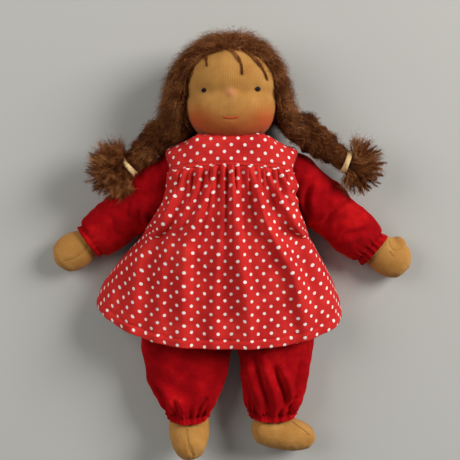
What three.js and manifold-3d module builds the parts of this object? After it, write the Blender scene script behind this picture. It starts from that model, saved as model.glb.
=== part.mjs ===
// Waldorf doll lying on its back, in a velour romper and a gathered cotton dress.
// Millimetres. The doll lies on z = 0, +Z up, its crown towards +Y and its own right side towards -X.
// The origin is on the flat back of the dress, on the midline.
import * as THREE from 'three';
import { mergeVertices } from 'three/addons/utils/BufferGeometryUtils.js';
import Module from 'manifold-3d';

const wasm = await Module();
wasm.setup();

// Fits and cloths
const FIT = 0.35;
const REST_FLAT = 0.5;
const DRESS_CLOTH = 1.0;
const ROMPER_CLOTH = 1.4;
const JERSEY = 1.6;
const EASE = 1.6;
const OVERRUN = 6;

// Head
const HEAD_WIDTH = 86;
const HEAD_LENGTH = 94;
const HEAD_DEPTH = 76;
const CHIN_Y = 86;
const EYE_LINE_DEPTH = 1.2;
const EYE_LINE_SPREAD = 5;
const EYE_LINE_THREAD = 1.4;
const EYE_LINE_DROP = 7;
const EYE_SPACING = 49;
const EYE_SIZE = 4.4;
const EYE_RISE = 2.6;
const NOSE_WIDTH = 7.5;
const NOSE_STAND = 2.6;
const MOUTH_WIDTH = 15;
const MOUTH_DROP = 23.6;
const MOUTH_THREAD = 1.3;
const NECK_WIDTH = 36;
const NECK_TIE = 1.8;

// Hair
const HAIR_WIDTH = 127;
const HAIR_LENGTH = 86;
const HAIR_DEPTH = 62;
const HAIR_NAPE_Y = 97;
const HAIRLINE_Y = 168;
const FRINGE_THICK = 3.6;
const FRINGE_LENGTH = 22;

// Braids
const BRAID_HEIGHT = 25;
const BRAID_TIP_WIDTH = 22;
const BRAID_Z = 36.5;
const ELASTIC_WIDTH = 5.4;
const ELASTIC_THICK = 2.2;
const TASSEL_WIDTH = 58;
const TASSEL_HEIGHT = 34;

// Trunk
const SHOULDER_Y = 82;
const FOLD_Y = -20;
const CHEST_WIDTH = 86;
const CHEST_DEPTH = 55;
const ARMHOLE_X = 64;
const ARMHOLE_DEPTH = 43;
const SEAT_WIDTH = 134;
const SEAT_DEPTH = 52;

// Dress
const YOKE_NECK_Y = 88;
const YOKE_SEAM_Y = 59.5;
const YOKE_WIDTH = 124;
const NECKLINE_WIDTH = 70;
const SKIRT_TOP_Z = 66;
const HEM_Y = -108;
const HEM_TOP_Z = 54;
const FOLD_HEIGHT = 7;
const FOLD_FLANK = 9;
const BUTTON_WIDTH = 9;
const BUTTON_THICK = 2.4;

// Arms
const ARM_THICK = 25;
const WRIST_THICK = 22;
const HAND_LENGTH = 43;
const HAND_WIDTH = 39;
const HAND_THICK = 27;
const THUMB_WIDTH = 15;
const CUFF_ELASTIC_THICK = 1.6;
const CUFF_ELASTIC_WIDTH = 5;

// Legs
const LEG_THICK = 36;
const ANKLE_THICK = 27;
const ANKLE_Y = -176;
const FOOT_WIDTH = 37;
const FOOT_THICK = 29;
const SEAT_LENGTH = 25;
const HIP_WEB_THICK = 6;

// What differs between the doll's own right and left sides: side is the sign of x
const SIDES = {
  right: {
    side: -1,
    armholeY: 44,
    armholeWidth: 63,
    sleeveLength: 90,
    armAngle: 36.5,
    elbowWidth: 47,
    cuffWidth: 34,
    handAngle: 36.5,
    thumbAngle: 95,
    thumbLength: 20,
    braidY: 92.5,
    braidAngle: 43,
    braidLength: 45,
    braidWidth: 27,
    tasselAngle: 14,
    tasselLength: 35,
    skirtFlare: 129,
    hemSideRise: 38,
    legX: 43,
    legWidth: 88,
    ankleX: 41,
    footHeading: -84,
    footPitch: 50,
    footLength: 54,
  },
  left: {
    side: 1,
    armholeY: 47,
    armholeWidth: 59,
    sleeveLength: 96,
    armAngle: 41.3,
    elbowWidth: 46,
    cuffWidth: 37,
    handAngle: 27,
    thumbAngle: 74,
    thumbLength: 26,
    braidY: 97.5,
    braidAngle: 35.5,
    braidLength: 55,
    braidWidth: 30,
    tasselAngle: 8,
    tasselLength: 33,
    skirtFlare: 106,
    hemSideRise: 27,
    legX: 42,
    legWidth: 72,
    ankleX: 37,
    footHeading: -13,
    footPitch: 0,
    footLength: 61,
  },
};

const coloured = (color, roughness) => new THREE.MeshStandardMaterial({ color, roughness, metalness: 0 });
const materials = {
  skin: coloured(0xc89a5c, 0.85),
  wool: coloured(0xe6dcc4, 0.95),
  hair: coloured(0x5a3420, 0.8),
  thread: coloured(0xe8dcc0, 0.8),
  eye: coloured(0x1a1418, 0.6),
  mouth: coloured(0xb04020, 0.7),
  elastic: coloured(0xe0c080, 0.8),
  velour: coloured(0xb01010, 0.85),
  cotton: coloured(0xc82820, 0.85),
  button: coloured(0xf0e8d8, 0.4),
};

const group = new THREE.Group();
const radians = THREE.MathUtils.degToRad;
const lerp = THREE.MathUtils.lerp;
const smooth = THREE.MathUtils.smoothstep;

// Turns rows of points into a closed body: every row is a ring, and both ends are closed by a fan.
function closedRings(rows) {
  const sides = rows[0].length;
  const points = rows.flat();
  const faces = [];
  for (let i = 0; i + 1 < rows.length; i++) {
    for (let j = 0; j < sides; j++) {
      const k = (j + 1) % sides;
      const [a, b, c, d] = [i * sides + j, i * sides + k, (i + 1) * sides + k, (i + 1) * sides + j];
      faces.push(a, b, c, a, c, d);
    }
  }
  for (const [row, flip] of [[0, true], [rows.length - 1, false]]) {
    const middle = points.length;
    points.push(rows[row].reduce((sum, p) => sum.add(p), new THREE.Vector3()).divideScalar(sides));
    for (let j = 0; j < sides; j++) {
      const [a, b] = [row * sides + j, row * sides + ((j + 1) % sides)];
      faces.push(...(flip ? [middle, b, a] : [middle, a, b]));
    }
  }
  return closedGeometry(points, faces);
}

function closedGeometry(points, faces) {
  const geometry = new THREE.BufferGeometry().setFromPoints(points);
  geometry.setIndex(faces);
  return geometry;
}

// A three.js geometry as a solid that faces out
function toSolid(geometry) {
  const plain = geometry.clone();
  plain.deleteAttribute('normal');
  plain.deleteAttribute('uv');
  const merged = mergeVertices(plain, 1e-4);
  const vertProperties = Float32Array.from(merged.attributes.position.array);
  let triVerts = [];
  const index = merged.index.array;
  for (let i = 0; i < index.length; i += 3) {
    const [a, b, c] = [index[i], index[i + 1], index[i + 2]];
    if (a !== b && b !== c && c !== a) triVerts.push(a, b, c);
  }
  if (signedVolume(vertProperties, triVerts) < 0) triVerts = triVerts.reverse();
  return new wasm.Manifold(new wasm.Mesh({
    numProp: 3,
    vertProperties,
    triVerts: Uint32Array.from(triVerts),
  }));
}

function signedVolume(vertices, triangles) {
  const corner = (i) => new THREE.Vector3().fromArray(vertices, 3 * triangles[i]);
  let sum = 0;
  for (let i = 0; i < triangles.length; i += 3) sum += corner(i).dot(corner(i + 1).cross(corner(i + 2)));
  return sum;
}

function addPart(name, solid, material) {
  const mesh = solid.getMesh();
  const geometry = new THREE.BufferGeometry();
  geometry.setAttribute('position', new THREE.BufferAttribute(mesh.vertProperties, 3));
  geometry.setIndex(new THREE.BufferAttribute(mesh.triVerts, 1));
  geometry.computeVertexNormals();
  const part = new THREE.Mesh(geometry, material);
  part.name = name;
  group.add(part);
}

const cut = (solid, ...others) => others.reduce((rest, other) => rest.subtract(other), solid);
const join = (solid, ...others) => others.reduce((sum, other) => sum.add(other), solid);

// A box between two corners
function block(low, high) {
  const size = high.map((h, i) => h - low[i]);
  const geometry = new THREE.BoxGeometry(...size);
  geometry.translate(...high.map((h, i) => (h + low[i]) / 2));
  return toSolid(geometry);
}

const REACH = 1000;
const below = (z) => block([-REACH, -REACH, z - REACH], [REACH, REACH, z]);

// The largest piece of a cut that left crumbs
function mainPiece(solid) {
  return solid.decompose().reduce((best, piece) => (piece.volume() > best.volume() ? piece : best));
}

// A section across a heading in plan (degrees from +X) and a pitch above it: a superellipse of half sizes
function sectionRing({ at, heading, pitch = 0, wide, high, power = 2 }, sides) {
  const [turn, tilt] = [radians(heading), radians(pitch)];
  const across = new THREE.Vector3(-Math.sin(turn), Math.cos(turn), 0);
  const up = new THREE.Vector3(
    -Math.cos(turn) * Math.sin(tilt),
    -Math.sin(turn) * Math.sin(tilt),
    Math.cos(tilt),
  );
  const bend = (value) => Math.sign(value) * Math.abs(value) ** (2 / power);
  return Array.from({ length: sides }, (_, j) => {
    const turnAt = ((j + 0.5) / sides) * 2 * Math.PI;
    return at.clone()
      .addScaledVector(across, wide * bend(Math.cos(turnAt)))
      .addScaledVector(up, high * bend(Math.sin(turnAt)));
  });
}

const rings = (stations, sides) => toSolid(closedRings(stations.map((s) => sectionRing(s, sides))));

// Times along a form, closer together where an end is rounded, with the share of the section left there
const END_STEPS = 4;
const POLE_SHARE = 0.12;
function formTimes(count, startShare, endShare) {
  const times = [];
  for (let i = 0; i < END_STEPS && startShare > 0; i++) {
    const turn = (i / END_STEPS) * (Math.PI / 2);
    times.push([startShare * (1 - Math.cos(turn)), Math.max(Math.sin(turn), POLE_SHARE)]);
  }
  for (let i = 0; i <= count; i++) times.push([lerp(startShare, 1 - endShare, i / count), 1]);
  for (let i = END_STEPS - 1; i >= 0 && endShare > 0; i--) {
    const turn = (i / END_STEPS) * (Math.PI / 2);
    times.push([1 - endShare * (1 - Math.cos(turn)), Math.max(Math.sin(turn), POLE_SHARE)]);
  }
  return times;
}

// A stuffed form through a few stations, whose places and sizes are joined by smooth curves
function stuffed(stations, { sides = 16, count = 8, startShare = 0, endShare = 0, grow = 0 } = {}) {
  const places = new THREE.CatmullRomCurve3(stations.map((s) => s.at), false, 'catmullrom', 0.5);
  const sizes = new THREE.CatmullRomCurve3(
    stations.map((s) => new THREE.Vector3(s.wide, s.high, s.heading)), false, 'catmullrom', 0.5);
  return rings(formTimes(count, startShare, endShare).map(([time, share]) => {
    const size = sizes.getPoint(time);
    return {
      at: places.getPoint(time),
      heading: size.z,
      pitch: stations[0].pitch ?? 0,
      wide: Math.max(size.x + grow, FIT) * share,
      high: Math.max(size.y + grow, FIT) * share,
      power: stations[0].power ?? 2,
    };
  }), sides);
}

// A closed band round a section: thick outwards, wide along the heading
function band(section, thick, wide, segments = 18) {
  const heading = radians(section.heading);
  const pitch = radians(section.pitch ?? 0);
  const along = new THREE.Vector3(
    Math.cos(heading) * Math.cos(pitch),
    Math.sin(heading) * Math.cos(pitch),
    Math.sin(pitch),
  );
  const grown = (out) => ({ ...section, wide: section.wide + out, high: section.high + out });
  const ring = (out, step) => sectionRing(grown(out), segments).map((p) => p.addScaledVector(along, step));
  const loops = [
    ring(0, -wide / 2),
    ring(thick, -wide / 2 + thick / 4),
    ring(thick, wide / 2 - thick / 4),
    ring(0, wide / 2),
  ];
  const faces = [];
  for (let i = 0; i < loops.length; i++) {
    const next = (i + 1) % loops.length;
    for (let j = 0; j < segments; j++) {
      const k = (j + 1) % segments;
      faces.push(i * segments + j, i * segments + k, next * segments + k);
      faces.push(i * segments + j, next * segments + k, next * segments + j);
    }
  }
  return toSolid(closedGeometry(loops.flat(), faces));
}

// A sheet of cloth over a grid: pointAt gives its outer face, and the cloth lies inside it
function sheet(pointAt, thick, columns, rows) {
  const step = 1e-3;
  const inwards = (u, v) => {
    const [u0, u1] = [Math.max(u - step, 0), Math.min(u + step, 1)];
    const [v0, v1] = [Math.max(v - step, 0), Math.min(v + step, 1)];
    const du = pointAt(u1, v).sub(pointAt(u0, v));
    const dv = pointAt(u, v1).sub(pointAt(u, v0));
    const normal = du.cross(dv).normalize();
    return normal.z > 0 ? normal.negate() : normal;
  };
  const outer = [];
  const inner = [];
  for (let i = 0; i <= rows; i++) {
    for (let j = 0; j <= columns; j++) {
      const [u, v] = [j / columns, i / rows];
      outer.push(pointAt(u, v));
      inner.push(pointAt(u, v).addScaledVector(inwards(u, v), thick));
    }
  }
  const stride = columns + 1;
  const offset = outer.length;
  const faces = [];
  for (let i = 0; i < rows; i++) {
    for (let j = 0; j < columns; j++) {
      const [a, b] = [i * stride + j, i * stride + j + 1];
      const [c, d] = [b + stride, a + stride];
      faces.push(a, b, c, a, c, d);
      faces.push(offset + a, offset + c, offset + b, offset + a, offset + d, offset + c);
    }
  }
  const edge = [];
  for (let j = 0; j < columns; j++) edge.push(j);
  for (let i = 0; i < rows; i++) edge.push(i * stride + columns);
  for (let j = columns; j > 0; j--) edge.push(rows * stride + j);
  for (let i = rows; i > 0; i--) edge.push(i * stride);
  edge.forEach((a, n) => {
    const b = edge[(n + 1) % edge.length];
    faces.push(b, a, offset + a, b, offset + a, offset + b);
  });
  return toSolid(closedGeometry([...outer, ...inner], faces));
}

// A flat shape in plan, given height from low to high
function prism(shape, low, high, curveSegments = 16) {
  const depth = high - low;
  const geometry = new THREE.ExtrudeGeometry(shape, { depth, bevelEnabled: false, curveSegments });
  geometry.translate(0, 0, low);
  return toSolid(geometry);
}

// Layers from the floor up under the doll's back
const DRESS_TOP_Z = DRESS_CLOTH;
const ROMPER_BACK_Z = DRESS_TOP_Z + FIT;
const TORSO_BACK_Z = ROMPER_BACK_Z + ROMPER_CLOTH + FIT;
const restZ = (high) => high - REST_FLAT;

// A gathered cuff holds its elastic between the cloth and the limb
const CUFF_LAYERS = 2 * FIT + CUFF_ELASTIC_THICK + ROMPER_CLOTH + REST_FLAT;
const CUFF_THICK = WRIST_THICK + 2 * CUFF_LAYERS;
const ANKLE_GATHER_THICK = ANKLE_THICK + 2 * CUFF_LAYERS;

// Head: sections across Y, with the drawn-in eye line
const HEAD_Z = HEAD_DEPTH / 2 + 6;
const HEAD_MIDDLE_Y = CHIN_Y + HEAD_LENGTH / 2;
const CROWN_POWER = 2.3;
const CHIN_POWER = 3;
const EYE_LINE_Y = HEAD_MIDDLE_Y - EYE_LINE_DROP;
function headHalf(y, half, grow) {
  const share = Math.min(Math.abs(y - HEAD_MIDDLE_Y) / (HEAD_LENGTH / 2 + grow), 1);
  const power = y < HEAD_MIDDLE_Y ? CHIN_POWER : CROWN_POWER;
  const drawn = EYE_LINE_DEPTH * Math.exp(-(((y - EYE_LINE_Y) / EYE_LINE_SPREAD) ** 2));
  return Math.max((half + grow) * (1 - share ** power) ** (1 / power) - drawn, POLE_SHARE);
}
const headWide = (y, grow = 0) => headHalf(y, HEAD_WIDTH / 2, grow);
const headHigh = (y, grow = 0) => headHalf(y, HEAD_DEPTH / 2, grow);
const faceZ = (x, y) => HEAD_Z + headHigh(y) * (1 - Math.abs(x / headWide(y)) ** 2) ** 0.5;

function headForm(grow, count = 14, sides = 24) {
  const half = HEAD_LENGTH / 2 + grow;
  return rings(Array.from({ length: count + 1 }, (_, i) => {
    const y = HEAD_MIDDLE_Y - half * Math.cos((i / count) * Math.PI);
    const at = new THREE.Vector3(0, y, HEAD_Z);
    return { at, heading: 90, wide: headWide(y, grow), high: headHigh(y, grow) };
  }), sides);
}

const NECK_TOP_Y = CHIN_Y + 14;
const NECK_BASE_Y = SHOULDER_Y - 6;
const NECK_Z = TORSO_BACK_Z + CHEST_DEPTH / 2;
const neckSection = (y, grow = 0) => ({
  at: new THREE.Vector3(0, y, lerp(NECK_Z, HEAD_Z, smooth(y, NECK_BASE_Y, NECK_TOP_Y))),
  heading: 90,
  wide: NECK_WIDTH / 2 + grow,
  high: NECK_WIDTH / 2 + grow,
});
function neckForm(grow, from = NECK_BASE_Y, to = NECK_TOP_Y) {
  const stops = [NECK_BASE_Y, YOKE_NECK_Y - OVERRUN / 2, (NECK_TOP_Y + YOKE_NECK_Y) / 2, NECK_TOP_Y];
  if (from < NECK_BASE_Y) stops.unshift(from);
  if (to > NECK_TOP_Y) stops.push(to);
  return rings(stops.map((y) => neckSection(y, grow)), 14);
}

const noseAt = () => new THREE.Vector3(0, EYE_LINE_Y - EYE_LINE_SPREAD / 5, faceZ(0, EYE_LINE_Y));
function ball(at, wide, long, high, sides = 10) {
  const geometry = new THREE.SphereGeometry(1, sides, sides / 2);
  geometry.scale(wide / 2, long / 2, high / 2);
  geometry.translate(at.x, at.y, at.z);
  return toSolid(geometry);
}
function noseBall(grow) {
  const at = noseAt().add(new THREE.Vector3(0, 0, -JERSEY / 2));
  return ball(at, NOSE_WIDTH + 2 * grow, NOSE_WIDTH + 2 * grow, 2 * (NOSE_STAND + grow));
}

function makeHead() {
  const skinOuter = join(headForm(0), neckForm(0), noseBall(JERSEY / 2));
  const neckRoom = neckForm(-JERSEY, NECK_BASE_Y - OVERRUN);
  const cavity = join(headForm(-JERSEY, 8, 14), neckRoom, noseBall(-JERSEY / 4));
  addPart('head_skin', cut(skinOuter, cavity), materials.skin);

  const beadRoom = noseBall(FIT - JERSEY / 2);
  const threadSection = {
    at: new THREE.Vector3(0, EYE_LINE_Y, HEAD_Z),
    heading: 90,
    wide: headWide(EYE_LINE_Y, -JERSEY) - 3 * FIT - EYE_LINE_THREAD,
    high: headHigh(EYE_LINE_Y, -JERSEY) - 3 * FIT - EYE_LINE_THREAD,
  };
  const groove = {
    ...threadSection,
    wide: threadSection.wide - FIT,
    high: threadSection.high - FIT,
  };
  const core = join(headForm(-JERSEY - FIT, 8, 14), neckForm(-JERSEY - FIT));
  addPart('head_wool', cut(
    core,
    band(groove, 3 * EYE_LINE_THREAD, EYE_LINE_THREAD + 2 * FIT),
    beadRoom,
  ), materials.wool);
  const thread = band(threadSection, EYE_LINE_THREAD, EYE_LINE_THREAD);
  addPart('eye_line_thread', cut(thread, beadRoom), materials.thread);
  const threadRoom = band(groove, 2 * EYE_LINE_THREAD + FIT, EYE_LINE_THREAD + 4 * FIT);
  addPart('nose_bead', cut(noseBall(-JERSEY / 2), threadRoom), materials.wool);

  for (const [name, { side }] of Object.entries(SIDES)) {
    const x = (side * EYE_SPACING) / 2;
    const y = EYE_LINE_Y + EYE_RISE;
    addPart(`${name}_eye`, cut(
      ball(new THREE.Vector3(x, y, faceZ(x, y)), EYE_SIZE, EYE_SIZE, EYE_SIZE / 2, 12),
      headForm(FIT)), materials.eye);
  }
  addPart('mouth_stitch', mouthThread(), materials.mouth);

  const tie = neckSection(YOKE_NECK_Y - OVERRUN / 2, FIT);
  addPart('neck_tie', cut(band(tie, NECK_TIE, NECK_TIE), neckForm(FIT)), materials.thread);
}

// A thread that follows the face from corner to corner of the smile
function mouthThread() {
  const steps = 8;
  const lift = FIT + MOUTH_THREAD / 2;
  return rings(Array.from({ length: steps + 1 }, (_, i) => {
    const share = (2 * i) / steps - 1;
    const x = share * (MOUTH_WIDTH / 2);
    const y = EYE_LINE_Y - MOUTH_DROP + MOUTH_THREAD * share * share;
    const end = Math.abs(share) === 1 ? 0.5 : 1;
    return {
      at: new THREE.Vector3(x, y, faceZ(x, y) + lift + FIT / 2),
      heading: 0,
      wide: (MOUTH_THREAD / 2) * end,
      high: (MOUTH_THREAD / 2) * end,
    };
  }), 6);
}

// Hair: a cap round the back, crown and sides of the head, open over the face
const hairlineHalf = (HEAD_WIDTH - EYE_LINE_DEPTH) / 2;
// From the nape to the crown: shares of the length, the width and the depth
const HAIR_SHARES = [
  [0.0, 0.72, 0.5],
  [0.05, 0.93, 0.78],
  [0.13, 1.0, 0.94],
  [0.3, 1.0, 1.0],
  [0.5, 0.94, 1.0],
  [0.72, 0.82, 0.98],
  [0.86, 0.64, 0.86],
  [0.94, 0.46, 0.68],
  [0.985, 0.27, 0.44],
  [1.0, 0.14, 0.24],
];

function makeHair() {
  const mass = rings(HAIR_SHARES.map(([along, wideShare, highShare]) => ({
    at: new THREE.Vector3(0, HAIR_NAPE_Y + HAIR_LENGTH * along, restZ(HAIR_DEPTH / 2)),
    heading: 90,
    wide: (HAIR_WIDTH / 2) * wideShare,
    high: (HAIR_DEPTH / 2) * highShare,
  })), 20);
  const roots = Object.values(SIDES).map((s) => braidForm(s, -ARMHOLE_X / 2, -FIT, 2));
  const face = new THREE.Shape();
  face.moveTo(-hairlineHalf, HAIR_NAPE_Y - HAIR_LENGTH);
  face.lineTo(hairlineHalf, HAIR_NAPE_Y - HAIR_LENGTH);
  face.lineTo(hairlineHalf, HEAD_MIDDLE_Y);
  face.absellipse(0, HEAD_MIDDLE_Y, hairlineHalf, HAIRLINE_Y - HEAD_MIDDLE_Y, 0, Math.PI, false);
  const cap = cut(
    join(mass, ...roots),
    headForm(FIT),
    neckForm(FIT, NECK_BASE_Y - OVERRUN),
    yokeForm(FIT, 0),
    sleeveRoots(FIT),
    prism(face, HEAD_Z - OVERRUN, HEAD_DEPTH + HEAD_Z),
    below(0),
    ...[-1, 1].map((side) => block(
      [side * ARMHOLE_X + (side < 0 ? -REACH : 0), -REACH, -REACH],
      [side * ARMHOLE_X + (side < 0 ? 0 : REACH), REACH, REACH])),
  );
  addPart('hair_cap', mainPiece(cap), materials.hair);
  makeFringe();
}

// Three loose strands that hang from the hairline over the forehead: shares of half the face and of the length
const FRINGE = [
  { name: 'fringe_right', topShare: -0.58, tipShare: -0.5, lengthShare: 0.7 },
  { name: 'fringe_middle', topShare: 0.02, tipShare: 0.24, lengthShare: 1.05 },
  { name: 'fringe_left', topShare: 0.42, tipShare: 0.72, lengthShare: 0.85 },
];
const FRINGE_TAPER = 0.7;
function makeFringe() {
  const steps = 6;
  for (const { name, topShare, tipShare, lengthShare } of FRINGE) {
    const top = HEAD_MIDDLE_Y + (HAIRLINE_Y - HEAD_MIDDLE_Y) * Math.sqrt(1 - topShare ** 2);
    const strand = rings(Array.from({ length: steps + 1 }, (_, i) => {
      const along = i / steps;
      const x = lerp(topShare, tipShare, along) * hairlineHalf;
      const y = top - FIT - FRINGE_THICK / 2 - FRINGE_LENGTH * lengthShare * along;
      const half = (FRINGE_THICK / 2) * (1 - FRINGE_TAPER * along);
      return { at: new THREE.Vector3(x, y, faceZ(x, y)), heading: -90, wide: half, high: half + FIT };
    }), 6);
    addPart(name, mainPiece(cut(strand, headForm(FIT))), materials.hair);
  }
}

// Braids: direction in plan runs out from the head and down towards the arm
const headingOf = ({ side }, angle) => (side > 0 ? -angle : 180 + angle);
function alongHeading(from, heading, distance, z) {
  return new THREE.Vector3(
    from.x + Math.cos(radians(heading)) * distance,
    from.y + Math.sin(radians(heading)) * distance,
    z,
  );
}

const BRAID_LOBES = 4;
const BRAID_WAIST_SHARE = 0.93;
function braidForm(s, from, to, steps = 2 * BRAID_LOBES, sides = 12) {
  const heading = headingOf(s, s.braidAngle);
  const root = new THREE.Vector3(s.side * ARMHOLE_X, s.braidY, 0);
  return rings(Array.from({ length: steps + 1 }, (_, i) => {
    const distance = lerp(from, to, i / steps);
    const along = Math.max(distance, 0) / s.braidLength;
    const lobe = i % 2 && from === 0 ? 1 : BRAID_WAIST_SHARE;
    return {
      at: alongHeading(root, heading, distance, BRAID_Z),
      heading,
      wide: (lerp(s.braidWidth, BRAID_TIP_WIDTH, along) / 2) * lobe,
      high: (lerp(BRAID_HEIGHT, BRAID_TIP_WIDTH, along) / 2) * lobe,
    };
  }), sides);
}

const ELASTIC_NECK = BRAID_TIP_WIDTH / 2 - ELASTIC_THICK;
const outside = ({ side }, gap) => block(
  [side > 0 ? ARMHOLE_X + gap : -REACH, -REACH, -REACH],
  [side > 0 ? REACH : -ARMHOLE_X - gap, REACH, REACH]);

function makeBraid(name, s) {
  const heading = headingOf(s, s.braidAngle);
  const root = new THREE.Vector3(s.side * ARMHOLE_X, s.braidY, 0);
  const at = (distance) => alongHeading(root, heading, distance, BRAID_Z);
  const tied = s.braidLength;
  const plaitEnd = tied - ELASTIC_WIDTH / 2 - FIT;
  const neckEnd = tied + ELASTIC_WIDTH / 2;
  const neck = rings([plaitEnd - OVERRUN, neckEnd].map((distance) => ({
    at: at(distance),
    heading,
    wide: ELASTIC_NECK,
    high: ELASTIC_NECK,
  })), 12);
  const plait = join(braidForm(s, 0, plaitEnd), braidForm(s, -ARMHOLE_X / 2, FIT, 2), neck);
  const sleeveRoom = sleeveForm(s, 2 * FIT);
  addPart(`${name}_braid`, mainPiece(cut(plait.intersect(outside(s, FIT)), sleeveRoom)), materials.hair);

  const ring = { at: at(tied), heading, wide: ELASTIC_NECK + FIT, high: ELASTIC_NECK + FIT };
  const elastic = band(ring, ELASTIC_THICK, ELASTIC_WIDTH, 16);
  addPart(`${name}_braid_elastic`, mainPiece(cut(elastic, sleeveRoom)), materials.elastic);

  const tasselHeading = headingOf(s, s.tasselAngle);
  const tasselRoot = at(neckEnd + FIT);
  const stations = TASSEL_SHARES.map(([along, wideShare, highShare, turnedShare]) => ({
    at: alongHeading(tasselRoot, tasselHeading, s.tasselLength * along, BRAID_Z),
    heading: lerp(heading, tasselHeading, turnedShare),
    wide: (TASSEL_WIDTH / 2) * wideShare,
    high: (TASSEL_HEIGHT / 2) * highShare,
  }));
  addPart(`${name}_tassel`, mainPiece(cut(rings(stations, 14), sleeveRoom)), materials.hair);
}

// From the elastic to the loose ends: shares of the length, width and height, and how far it has turned
const TASSEL_SHARES = [
  [0.0, 0.36, 0.52, 0],
  [0.2, 0.64, 0.74, 0.4],
  [0.5, 0.94, 0.96, 1],
  [0.8, 1.0, 1.0, 1],
  [0.94, 0.88, 0.84, 1],
  [1.0, 0.64, 0.56, 1],
];

// Trunk: sections across Y from the shoulders to the sitting fold
const TRUNK_SHARES = [
  [0.0, 0.74, 0.8],
  [0.14, 0.94, 0.92],
  [0.36, 1.0, 0.97],
  [0.62, 0.98, 1.0],
  [0.86, 1.05, 1.02],
  [1.0, 1.04, 1.0],
];
const TRUNK_POWER = 2.4;
function trunkForm(grow, floorZ, from = SHOULDER_Y, to = FOLD_Y + FIT) {
  const stations = TRUNK_SHARES.map(([along, wideShare, highShare]) => ({
    at: new THREE.Vector3(0, lerp(from, to, along), TORSO_BACK_Z + restZ(CHEST_DEPTH / 2)),
    heading: -90,
    wide: (CHEST_WIDTH / 2) * wideShare,
    high: (CHEST_DEPTH / 2) * highShare,
    power: TRUNK_POWER,
  }));
  return cut(stuffed(stations, { sides: 18, count: 6, startShare: 0.08, grow }), below(floorZ));
}

// The bar of the shoulders, out to both armholes, for the stuffed body or for the sleeves' roots round it
function shoulderBar(halfOf, yOf, high, z, sides = 14) {
  const stops = [-1, -0.5, 0, 0.5, 1];
  return rings(stops.map((share) => ({
    at: new THREE.Vector3(share * ARMHOLE_X, yOf(share), z),
    heading: 0,
    wide: halfOf(share),
    high,
  })), sides);
}
const ARM_ROOT_Y = SHOULDER_Y - ARM_THICK;
const armholeHalf = (share) => (share < 0 ? SIDES.right : SIDES.left).armholeWidth / 2;
const armholeY = (share) => (share < 0 ? SIDES.right : SIDES.left).armholeY;
const chestY = (SIDES.right.armholeY + SIDES.left.armholeY) / 2;
const middleY = (share) => lerp(chestY, armholeY(share), Math.abs(share));

function sleeveRoots(grow) {
  return shoulderBar(
    (share) => lerp(ARM_THICK, armholeHalf(share), Math.abs(share)) + grow,
    middleY,
    ARMHOLE_DEPTH / 2 + grow,
    ROMPER_BACK_Z + restZ(ARMHOLE_DEPTH / 2),
  );
}
function armRoots(grow) {
  const half = ARM_THICK / 2;
  return shoulderBar(() => half + EASE + grow, () => ARM_ROOT_Y, half + grow, TORSO_BACK_Z + half);
}
const slab = (low, high) => block([-REACH, low, -REACH], [REACH, high, REACH]);
const between = (gap) => block([-ARMHOLE_X + gap, -REACH, -REACH], [ARMHOLE_X - gap, REACH, REACH]);

function makeTrunk() {
  const socket = neckForm(FIT, NECK_BASE_Y - FIT, NECK_TOP_Y + OVERRUN);
  addPart('torso', cut(
    join(trunkForm(0, TORSO_BACK_Z), armRoots(0)).intersect(between(FIT)),
    socket,
    below(TORSO_BACK_Z),
  ), materials.skin);

  const outer = join(
    trunkForm(FIT + EASE + ROMPER_CLOTH, ROMPER_BACK_Z, SHOULDER_Y, FOLD_Y + FIT),
    sleeveRoots(0),
  );
  const inner = join(
    trunkForm(FIT + EASE, ROMPER_BACK_Z + ROMPER_CLOTH, SHOULDER_Y, FOLD_Y - OVERRUN),
    cut(sleeveRoots(-ROMPER_CLOTH), below(ROMPER_BACK_Z + ROMPER_CLOTH)),
    armRoots(FIT),
  );
  addPart('romper_body', mainPiece(cut(
    cut(outer, below(ROMPER_BACK_Z)).intersect(between(FIT)).intersect(slab(FOLD_Y + FIT, YOKE_NECK_Y)),
    inner,
    neckForm(FIT + NECK_TIE + FIT, NECK_BASE_Y - OVERRUN, NECK_TOP_Y + OVERRUN),
    headForm(FIT),
  )), materials.velour);
}

// Dress: the yoke wraps over the shoulders, and the skirt is gathered below it
const YOKE_POWER = 2.6;
const YOKE_Z = SKIRT_TOP_Z * 0.36;
const SKIRT_EDGE_Z = ROMPER_BACK_Z + restZ(ARMHOLE_DEPTH / 2) + ARMHOLE_DEPTH / 2 + FIT + DRESS_CLOTH;
const yokeHalf = YOKE_WIDTH / 2;
const archShare = (share, power) => (1 - Math.abs(share) ** power) ** (1 / power);
const archZ = (share, top, edge, power) => lerp(edge, top, archShare(share, power));

// From the seam to the neckline: shares of the length, the width and the height
const YOKE_SHARES = [
  [0.0, 1.0, 1.0],
  [0.5, 1.0, 1.0],
  [0.75, 0.97, 0.97],
  [0.9, 0.9, 0.88],
  [1.0, 0.74, 0.72],
];
function yokeForm(grow, floorZ) {
  return cut(rings(YOKE_SHARES.map(([along, wideShare, highShare]) => ({
    at: new THREE.Vector3(0, lerp(YOKE_SEAM_Y - (grow < 0 ? OVERRUN : 0), YOKE_NECK_Y + grow, along), YOKE_Z),
    heading: 90,
    wide: (yokeHalf + EASE) * wideShare + grow,
    high: (SKIRT_TOP_Z - YOKE_Z) * highShare + grow,
    power: YOKE_POWER,
  })), 32), below(floorZ));
}

// The opening at the nape, which lets the head through
const NAPE_SLIT_END_Y = YOKE_SEAM_Y + DRESS_CLOTH * 2;

function armholeRoom(side) {
  const top = Math.min(armholeY(side) + armholeHalf(side), SHOULDER_Y) + FIT;
  return block(
    [side > 0 ? CHEST_WIDTH / 2 : -REACH, -REACH, DRESS_CLOTH],
    [side > 0 ? REACH : -CHEST_WIDTH / 2, top, SKIRT_EDGE_Z - DRESS_CLOTH],
  );
}

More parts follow.
